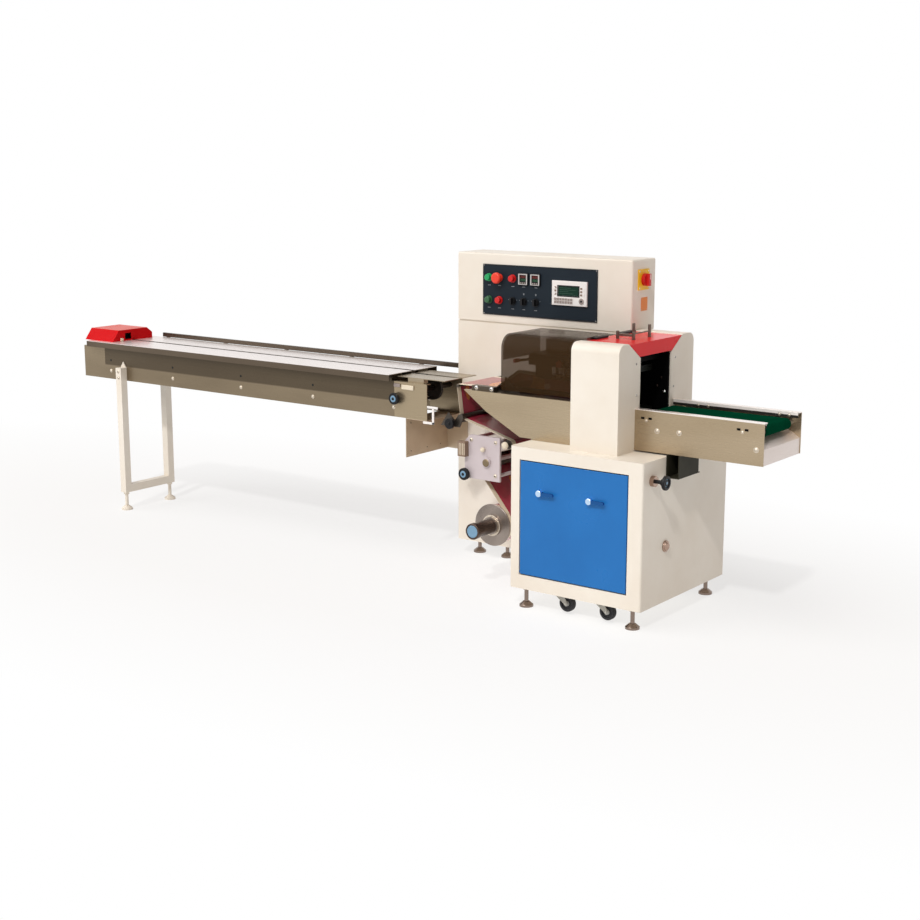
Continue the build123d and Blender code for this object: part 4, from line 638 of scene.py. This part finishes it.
def buildChainTree():
    # roller chain: plates in pairs, alternately narrow and wide, with a roller at each pin
    tree, given = newTree("chainLinks", Int=("Count",), Material=("Finish",),
        Float=("Pitch", "Plate Height", "Plate Thickness", "Gauge", "Roller Radius"))
    step = addNode(tree, "CombineXYZ", links={"X": given["Pitch"]})
    start = addNode(tree, "GeometryNodeInputPosition")
    line = addNode(tree, "GeometryNodeMeshLine", links={"Count": given["Count"],
        "Offset": step.outputs["Vector"]})
    origin = addNode(tree, "GeometryNodeSampleIndex", links={"Geometry": given["Geometry"],
        "Value": start.outputs["Position"]}, data_type="FLOAT_VECTOR")
    placed = addNode(tree, "GeometryNodeSetPosition", links={"Geometry": line.outputs["Mesh"],
        "Offset": origin.outputs["Value"]})
    length = addNode(tree, "Math", {1: 1.35}, {0: given["Pitch"]}, operation="MULTIPLY")
    size = addNode(tree, "CombineXYZ", links={"X": length.outputs[0],
        "Y": given["Plate Thickness"], "Z": given["Plate Height"]})
    plate = addNode(tree, "GeometryNodeMeshCube", links={"Size": size.outputs["Vector"]})
    roller = addNode(tree, "GeometryNodeMeshCylinder", {"Vertices": 10},
        {"Radius": given["Roller Radius"], "Depth": given["Gauge"]})
    rolled = addNode(tree, "GeometryNodeTransform", {"Rotation": (math.pi / 2, 0, 0)},
        {"Geometry": roller.outputs["Mesh"]})
    index = addNode(tree, "GeometryNodeInputIndex")
    parity = addNode(tree, "Math", {1: 2.0}, {0: index.outputs["Index"]}, operation="MODULO")
    whole = addNode(tree, "GeometryNodeJoinGeometry")
    for widening, wanted in ((0.5, 0.0), (0.62, 1.0)):
        reach = addNode(tree, "Math", {1: widening}, {0: given["Gauge"]}, operation="MULTIPLY")
        pair = addNode(tree, "GeometryNodeJoinGeometry")
        for side in (-1.0, 1.0):
            signed = addNode(tree, "Math", {1: side}, {0: reach.outputs[0]}, operation="MULTIPLY")
            shift = addNode(tree, "CombineXYZ", links={"Y": signed.outputs[0]})
            moved = addNode(tree, "GeometryNodeTransform", links={"Geometry": plate.outputs["Mesh"],
                "Translation": shift.outputs["Vector"]})
            wire(tree, pair, {"Geometry": moved.outputs["Geometry"]})
        chosen = addNode(tree, "FunctionNodeCompare", {1: wanted}, {0: parity.outputs[0]},
            operation="EQUAL")
        copies = addNode(tree, "GeometryNodeInstanceOnPoints", links={
            "Points": placed.outputs["Geometry"], "Instance": pair.outputs["Geometry"],
            "Selection": chosen.outputs["Result"]})
        wire(tree, whole, {"Geometry": copies.outputs["Instances"]})
    rollers = addNode(tree, "GeometryNodeInstanceOnPoints",
        links={"Points": placed.outputs["Geometry"], "Instance": rolled.outputs["Geometry"]})
    wire(tree, whole, {"Geometry": rollers.outputs["Instances"]})
    dressed = endTree(tree, whole.outputs["Geometry"], given["Finish"])
    addNode(tree, "NodeGroupOutput", links={"Geometry": dressed})
    return tree


chain = {"Count": 84, "Pitch": 25.4 * mm, "Plate Height": 13 * mm, "Plate Thickness": 1.6 * mm,
    "Gauge": 11 * mm, "Roller Radius": 5 * mm, "Finish": chainSteel, "start": [(-1890, 0, 878)]}
grow("chainLinks", buildChainTree(), chain["start"], chain, "machine")
print("stage: infeed details")

# outfeed conveyor: bolts on the side plates, tension adjusters between their slots, inner lips
outfeed = {"half": 168, "bolts": ((1542, 789), (1642, 792), (1979, 763)),
    "adjusters": ((1491, 826), (1918, 826)), "innerBolts": (1560, 1606, 1926, 1968),
    "innerBoltZ": 856}
groove = {"reach": 17, "half": 8, "heights": (831, 840), "proud": 0.5, "deep": 0.4}
lip = {"outer": 142, "inner": 140.2, "ends": (1442, 2006), "heights": (847, 869.5)}
for label, side, facing in sides:
    y = side * outfeed["half"]
    screws("outfeedBolts" + label, [(x, y, z) for x, z in outfeed["bolts"]], facing, 9, 6, zinc,
        recess=zinc)
    screws("outfeedAdjusters" + label, [(x, y, z) for x, z in outfeed["adjusters"]], facing, 5.5,
        5, zinc, recess=zinc)
    depth = sorted((y + side * groove["proud"], y - side * groove["deep"]))
    middles = [x + way * groove["reach"] for x, z in outfeed["adjusters"] for way in (-1, 1)]
    slots = [(x - groove["half"], x + groove["half"], *depth, *groove["heights"]) for x in middles]
    # the adjuster slots are thin near-black plates: painted shade in the slots
    plates("outfeedSlotShade" + label, slots, deepShadeBlack, 0.3)
    depth = sorted((side * lip["outer"], side * lip["inner"]))
    plates("outfeedLip" + label, [(*lip["ends"], *depth, *lip["heights"])], lipSheet,
        0.5)
inner = [(x, lip["inner"], outfeed["innerBoltZ"]) for x in outfeed["innerBolts"]]
screws("outfeedInnerBolts", inner, "-Y", 5, 3, zinc, recess=zinc)

# end seal: cover screws, frame bolts, a domed plug in the drive cap, and black blocks on the
# red hood's top at its left end, next to the smoked hood
seal = {"faces": (("Right", 1437, "+X"), ("Left", 1212, "-X")),
    "cover": ((156, 1045), (146, 923), (-164, 1051), (-158, 923)), "bolt": (1413, 110, 902),
    "smallBolts": ((1380, 110, 925), (1398, 110, 962), (1340, 110, 990)),
    "plug": (1605, -176, 322), "plugShape": ((19, 0), (18.5, 2), (14, 6), (8, 8.5), (2, 9.2)),
    "boss": (1615, -285, 628),
    "blackBlocks": ((1208, 1236, -152, -52, 1133, 1142), (1208, 1236, 56, 172, 1133, 1142))}
for label, x, facing in seal["faces"]:
    screws("coverScrews" + label, [(x, y, z) for y, z in seal["cover"]], facing, 4, 2, steel)
screws("frameBolts", [seal["bolt"]], "-Y", 8, 6, chrome)
screws("frameSmallBolts", seal["smallBolts"], "-Y", 4, 3, shaftSteel)
turned("driveCapPlug", [seal["plug"]], seal["plugShape"], "+X", bossMetal)
screws("handwheelBossScrew", [seal["boss"]], "+X", 3, 2, zinc)
plates("hoodBlackBlocks", seal["blackBlocks"], blackPlastic, 1.5)

# deck and film plate: bolts, brass hub cap, clamp knob, roller cap and the print mark sensor
film = {"deck": ((665, -201, 888), (745, -201, 888)),
    "bolts": ((620, -177, 650), (750, -177, 502), (751, -177, 650)),
    "hub": (706, -187, 557), "hubShape": ((17, 0), (17, 1.5), (15, 3), (5, 3.4)),
    "knob": (689, -177, 614), "knobShape": ((6, 0), (6, 6), (10, 8), (11, 12), (9, 16), (4, 18)),
    "roller": (798, -172, 643), "rollerShape": ((17, 0), (17, 2), (14, 7), (8, 10), (3, 11)),
    "sensor": (564, 606, -204, -177.2, 574, 642), "ribs": (573, 582, 591, 600), "ribWidth": 3,
    "ribBox": (-205.2, -203.5, 582, 634)}
screws("deckBolts", film["deck"], "-Y", 7, 5, chrome)
screws("filmPlateBolts", film["bolts"], "-Y", 7, 5, zinc)
turned("hubCap", [film["hub"]], film["hubShape"], "-Y", brass)
turned("plateKnob", [film["knob"]], film["knobShape"], "-Y", creamPlastic)
turned("turnRollerCap", [film["roller"]], film["rollerShape"], "-Y", creamPlastic)
plates("markSensor", [film["sensor"]], brownPlastic, 2.0)
ribs = [(x, x + film["ribWidth"], *film["ribBox"]) for x in film["ribs"]]
plates("markSensorRibs", ribs, creamPlastic, 0.5)

# knobs: pale rings round black cores, and the handwheel's cap
knobs = {"ring": ((15, 0), (15, 0.8), (13.5, 1.6), (9, 1.6)),
    "core": ((7, 0), (7, 2.4), (5.5, 3.2), (2, 3.4)),
    "ringed": [(596, -205, 496), (165, -161.5, 784)], "plain": [(500, -184, 708)],
    "wheel": (1660.2, -296, 613), "wheelShape": ((17.6, 0), (17.6, 1.2), (15, 3), (9, 4.6), (3, 5))}
turned("knobRings", knobs["ringed"], knobs["ring"], "-Y", bluePlastic)
turned("knobCores", knobs["ringed"] + knobs["plain"], knobs["core"], "-Y", blackPlastic)

# film reel: cap insert, flange ring and the screws round its axle (y, radius, count)
reel = {"x": 720, "z": 274, "cap": -303, "flange": -163, "screws": (-165.2, 43, 6),
    "bolts": (163, 42, 4),
    "capShape": ((27.5, 0), (27.5, 1.5), (25, 2.5), (20, 2.5), (18, 1.8), (6, 1.8)),
    "flangeShape": ((47, 0), (47, 1.6), (45, 2.2), (39.5, 2.2))}


def roundAxle(y, radius, count):
    angles = (2 * math.pi * (n + 0.5) / count for n in range(count))
    return [(reel["x"] + radius * math.cos(a), y, reel["z"] + radius * math.sin(a)) for a in angles]


turned("reelCapInsert", [(reel["x"], reel["cap"], reel["z"])], reel["capShape"], "-Y",
    bluePlastic, "reel", 40)
turned("flangeRing", [(reel["x"], reel["flange"], reel["z"])], reel["flangeShape"], "-Y", zinc,
    "reel", 48)
screws("flangeScrews", roundAxle(*reel["screws"]), "-Y", 2.8, 2.5, zinc, "reel")
# the handwheel's pale blue-grey cap is the light reflected in its glossy centre dish: painted
# reflection
turned("handwheelCap", [knobs["wheel"]], knobs["wheelShape"], "+X", bluePlastic,
    "handwheel_body")
screws("bearingBolts", roundAxle(*reel["bolts"]), "-Y", 4, 3, zinc)
print("stage: bolts and caps")


def onFace(bars, face, proud):
    # bars (x0, x1, z0, z1) that stand out of a face towards the front
    return [(x0, x1, face - proud, face, z0, z1) for x0, x1, z0, z1 in bars]


def shifted(bar, x, z=0):
    return (x + bar[0], x + bar[1], z + bar[2], z + bar[3])


def drawnIn(edges, margin):
    # a rectangle (x0, x1, z0, z1) made smaller all round
    return [at + way * margin for at, way in zip(edges, (1, -1, 1, -1))]


# control panel: label bars round each button, a border line and corner screws
panel = {"face": 175, "columns": (461, 518, 591, 651, 716), "high": 1329, "low": 1228,
    "label": (-8, 8, -37, -34), "tick": (-3, 3, 30, 38),
    "sideTicks": ((-24, -21, 4, 7), (21, 24, 4, 7)), "edges": (425, 1036, 1160, 1388),
    "inset": 3, "line": 2.5, "screw": 5}
columns, low, line = panel["columns"], panel["low"], panel["line"]
marks = [shifted(panel["label"], x, z) for x in columns for z in (panel["high"], low)]
marks += [shifted(panel["tick"], x, low) for x in columns[3:]]
marks += [shifted(tick, x, low) for x in columns[2:] for tick in panel["sideTicks"]]
plates("panelMarks", onFace(marks, panel["face"], 0.5), markPaint, 0.15)
x0, x1, z0, z1 = drawnIn(panel["edges"], panel["inset"])
border = [(x0, x1, z0, z0 + line), (x0, x1, z1 - line, z1), (x0, x0 + line, z0, z1),
    (x1 - line, x1, z0, z1)]
plates("panelBorder", onFace(border, panel["face"], 0.4), blackPlastic, 0.15)
x0, x1, z0, z1 = drawnIn(panel["edges"], panel["screw"])
corners = [(x, panel["face"], z) for x in (x0, x1) for z in (z0, z1)]
screws("panelScrews", corners, "-Y", 2.4, 1.2, steel)

# temperature controllers: frame, three keys and two rows of lit digits each
meter = {"front": 165, "window": 168, "frame": ((-24, -18, 1305, 1353), (18, 24, 1305, 1353),
    (-18, 18, 1349, 1353), (-18, 18, 1305, 1308)), "rows": ((1335, (2, 0, 5)), (1321, (3, 8, 0))),
    "keys": ((-15, -7, 1310, 1315), (-4, 4, 1310, 1315), (7, 15, 1310, 1315)), "first": -14}
digit = {"width": 6.5, "height": 10, "bar": 1.4, "step": 10.5}
lit = {0: "abcdef", 5: "acdfg", 8: "abcdefg", 2: "abdeg", 3: "abcdg"}


def segments(left, base, figure):
    # the lit bars of one digit
    right, top, mid = left + digit["width"], base + digit["height"], base + digit["height"] / 2
    bar = digit["bar"]
    bars = {"a": (left, right, top - bar, top), "b": (right - bar, right, mid, top),
        "c": (right - bar, right, base, mid), "d": (left, right, base, base + bar),
        "e": (left, left + bar, base, mid), "f": (left, left + bar, mid, top),
        "g": (left, right, mid - bar / 2, mid + bar / 2)}
    return [bars[s] for s in lit[figure]]


frames, keys, readings = [], [], ([], [])
for x in columns[3:]:
    frames += [shifted(bar, x) for bar in meter["frame"]]
    keys += [shifted(bar, x) for bar in meter["keys"]]
    for row, (base, figures) in zip(readings, meter["rows"]):
        for n, figure in enumerate(figures):
            row += segments(x + meter["first"] + n * digit["step"], base, figure)
red, green = (onFace(row, meter["window"], 0.8) for row in readings)
plates("meterFrames", onFace(frames, meter["front"], 0.8), lightPlastic, 0.3)
plates("meterKeys", onFace(keys, meter["front"], 1.6), keyPlastic, 0.5)
plates("redReadings", red, redDigits, 0.2)
plates("greenReadings", green, greenDigits, 0.2)

# operator terminal: key caps, framed screen with four plain lines, round key and side keys
terminal = {"face": 166, "screen": (840, 946, 1269, 1309), "frame": 5, "cap": (5.8, 5.2),
    "capsX": (826, 840, 854, 868, 882, 896, 910), "capsZ": (1240, 1253), "lineHeight": 3,
    "lines": {1304: 60, 1296: 84, 1288: 46, 1280: 72}, "lineStart": 846, "round": (962, 1248),
    "sideX": (821, 955), "sideZ": (1271, 1285, 1299), "side": (10, 8)}
face, wide, start = terminal["face"], terminal["frame"], terminal["lineStart"]
halfX, halfZ = terminal["cap"]
caps = [(x - halfX, x + halfX, z - halfZ, z + halfZ)
    for x in terminal["capsX"] for z in terminal["capsZ"]]
plates("keyCaps", onFace(caps, face - 2, 1), keyPlastic, 0.5)
x0, x1, z0, z1 = terminal["screen"]
edge = [(x0 - wide, x1 + wide, z1, z1 + wide), (x0 - wide, x1 + wide, z0 - wide, z0),
    (x0 - wide, x0, z0, z1), (x1, x1 + wide, z0, z1)]
plates("screenFrame", onFace(edge, face, 0.8), blackPlastic, 0.3)
lines = [(start, start + length, top - terminal["lineHeight"], top)
    for top, length in terminal["lines"].items()]
plates("screenLines", onFace(lines, face + 1, 0.4), screenMark, 0.2)
x, z = terminal["round"]
turned("roundKey", [(x, face - 2, z)], ((13, 0), (13, 0.8), (11, 1.4), (5, 1.4)), "-Y",
    keyPlastic)
turned("roundKeyCentre", [(x, face - 3, z)], ((5, 0), (5, 1.2), (2, 1.4)), "-Y", blackPlastic)
width, height = terminal["side"]
sideKeys = [(x, x + width, z, z + height) for x in terminal["sideX"] for z in terminal["sideZ"]]
plates("sideKeys", onFace(sideKeys, face, 1), brownPlastic, 0.5)

# control box's end: a bare plate with rivets, the switch's pale pointer and its plate's screws
boxEnd = {"plate": (1209, 1210.5, 252, 306, 1215, 1273), "rivet": 5, "switch": (1215, 266, 1350),
    "reach": 36, "pointer": (1245.3, 1246.2, 264, 268, 1352, 1374)}
plates("barePlate", [boxEnd["plate"]], amberPlastic)
y0, y1, z0, z1 = drawnIn(boxEnd["plate"][2:], boxEnd["rivet"])
rivets = [(boxEnd["plate"][1], y, z) for y in (y0, y1) for z in (z0, z1)]
screws("barePlateRivets", rivets, "+X", 1.8, 1, zinc)
plates("switchPointer", [boxEnd["pointer"]], whitePlastic, 0.3, "switch_knob")
x, y, z = boxEnd["switch"]
ways = (-boxEnd["reach"], boxEnd["reach"])
screws("switchPlateScrews", [(x, y + a, z + b) for a in ways for b in ways], "+X", 3, 1.6, zinc)
print("stage: control panel")

# back: two sheets with screws and louvres, and screws on the box, cabinet and bracket
rear = {"inner": 374, "outer": 380.4, "panels": ((318, 922, 118, 681), (318, 1169, 705, 1081)),
    "margin": 18, "louvre": (545, 695, 379.9, 380.8), "louvreZ": (198, 224, 250, 276, 302, 328),
    "louvreHeight": 8}
inner, outer, backScrews = rear["inner"], rear["outer"], []
for edges in rear["panels"]:
    x0, x1, z0, z1 = drawnIn(edges, rear["margin"])
    backScrews += [(x, outer, z) for x in (x0, (x0 + x1) / 2, x1) for z in (z0, z1)]
    backScrews += [(x, outer, (z0 + z1) / 2) for x in (x0, x1)]
sheets = [(x0, x1, inner, outer, z0, z1) for x0, x1, z0, z1 in rear["panels"]]
cover = plates("rearPanelSheets", sheets, ivory, 1.5)
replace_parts(cover, "rear_access_panels")
# the louvres are thin black strips on the sheet: painted shade in the vent openings
plates("rearLouvreShade", [(*rear["louvre"], z, z + rear["louvreHeight"]) for z in rear["louvreZ"]],
    shadeBlack, 0.2)
screws("rearPanelScrews", backScrews, "+Y", 5, 2.3, zinc)
backs = {"controlBoxBackScrews": (374, (300, 743, 1187), (1150, 1416)),
    "cabinetBackScrews": (340, (985, 1280, 1575), (110, 390, 668))}
for name, (y, across, up) in backs.items():
    screws(name, [(x, y, z) for x in across for z in up], "+Y", 5, 3, zinc)
bracket = {"face": 216, "across": (-100, 20, 120), "up": (540, 670)}
places = [(bracket["face"], y, z) for y in bracket["across"] for z in bracket["up"]]
screws("bracketScrews", places, "-X", 6, 4, zinc)
print("stage: back and sides")

# camera, floor and light
view = {"place": (4.5254, -5.4609, 1.9035), "turn": 36.9, "tilt": -11.57, "lens": 59.65}
camera = put("camera", bpy.data.cameras.new("camera"))
camera.data.lens = view["lens"]
camera.data.clip_end = 60.0
camera.location = view["place"]
camera.rotation_euler = (math.radians(90 + view["tilt"]), 0.0, math.radians(view["turn"]))
scene.camera = camera

ground = {"half": 30.0, "near": 0.9, "far": 2.2, "lift": 0.68, "length": 0.42}
half = ground["half"]
floorMesh = bpy.data.meshes.new("floor")
floorMesh.from_pydata([(-half, -half, 0), (half, -half, 0), (half, half, 0), (-half, half, 0)],
    [], [(0, 1, 2, 3)])
floor = put("floor", floorMesh)
# painted screed that turns to a plain white sweep away from the machine
floorMaterial, floorTree, floorShader, floorCoords = newMaterial("paleFloor",
    Base_Color=linear("#F4F3F1"), Roughness=0.9)
squeezed = addNode(floorTree, "VectorMath", {1: (ground["length"], 1.0, 1.0)},
    {0: floorCoords}, operation="MULTIPLY")
reach = addNode(floorTree, "VectorMath", links={0: squeezed.outputs[0]}, operation="LENGTH")
away = addNode(floorTree, "MapRange", {"From Min": ground["near"], "From Max": ground["far"],
    "To Min": ground["lift"]}, {"Value": reach.outputs["Value"]})
white = addNode(floorTree, "Emission")
blend = addNode(floorTree, "MixShader", links={0: away.outputs["Result"],
    1: floorShader.outputs["BSDF"], 2: white.outputs["Emission"]})
floorOutput = next(n for n in floorTree.nodes if n.type == "OUTPUT_MATERIAL")
wire(floorTree, floorOutput, {"Surface": blend.outputs["Shader"]})
paint(floor, floorMaterial)

lamps = {"keySun": {"towards": (0.217, -0.662, 0.717), "strength": 1.15, "angle": 3.5},
    "fillSun": {"towards": (-0.35, -0.55, 0.76), "strength": 1.8, "angle": 60.0}}
for name, look in lamps.items():
    lamp = bpy.data.lights.new(name, "SUN")
    lamp.energy = look["strength"]
    lamp.angle = math.radians(look["angle"])
    holder = put(name, lamp)
    holder.rotation_euler = Vector(look["towards"]).to_track_quat("Z", "Y").to_euler()

world = bpy.data.worlds.new("studio")
scene.world = world
world.use_nodes = True
sky = world.node_tree
sky.nodes.clear()
rays = addNode(sky, "LightPath")
mirrored = addNode(sky, "Math", links={0: rays.outputs["Is Camera Ray"],
    1: rays.outputs["Is Glossy Ray"]}, operation="MAXIMUM")
seen = addNode(sky, "Math", links={0: mirrored.outputs[0],
    1: rays.outputs["Is Transmission Ray"]}, operation="MAXIMUM")
ambient = {"strength": 0.23, "colour": "#FFE6D4"}
strength = addNode(sky, "MapRange", {"To Min": ambient["strength"]}, {"Value": seen.outputs[0]})
tint = addNode(sky, "Mix", {6: linear(ambient["colour"]), 7: linear("#FFFFFF")},
    {0: seen.outputs[0]}, data_type="RGBA")
backdrop = addNode(sky, "Background", links={"Color": tint.outputs[2],
    "Strength": strength.outputs["Result"]})
addNode(sky, "OutputWorld", links={"Surface": backdrop.outputs["Background"]})
scene.view_settings.view_transform = "Standard"
print("stage: camera, floor and light")
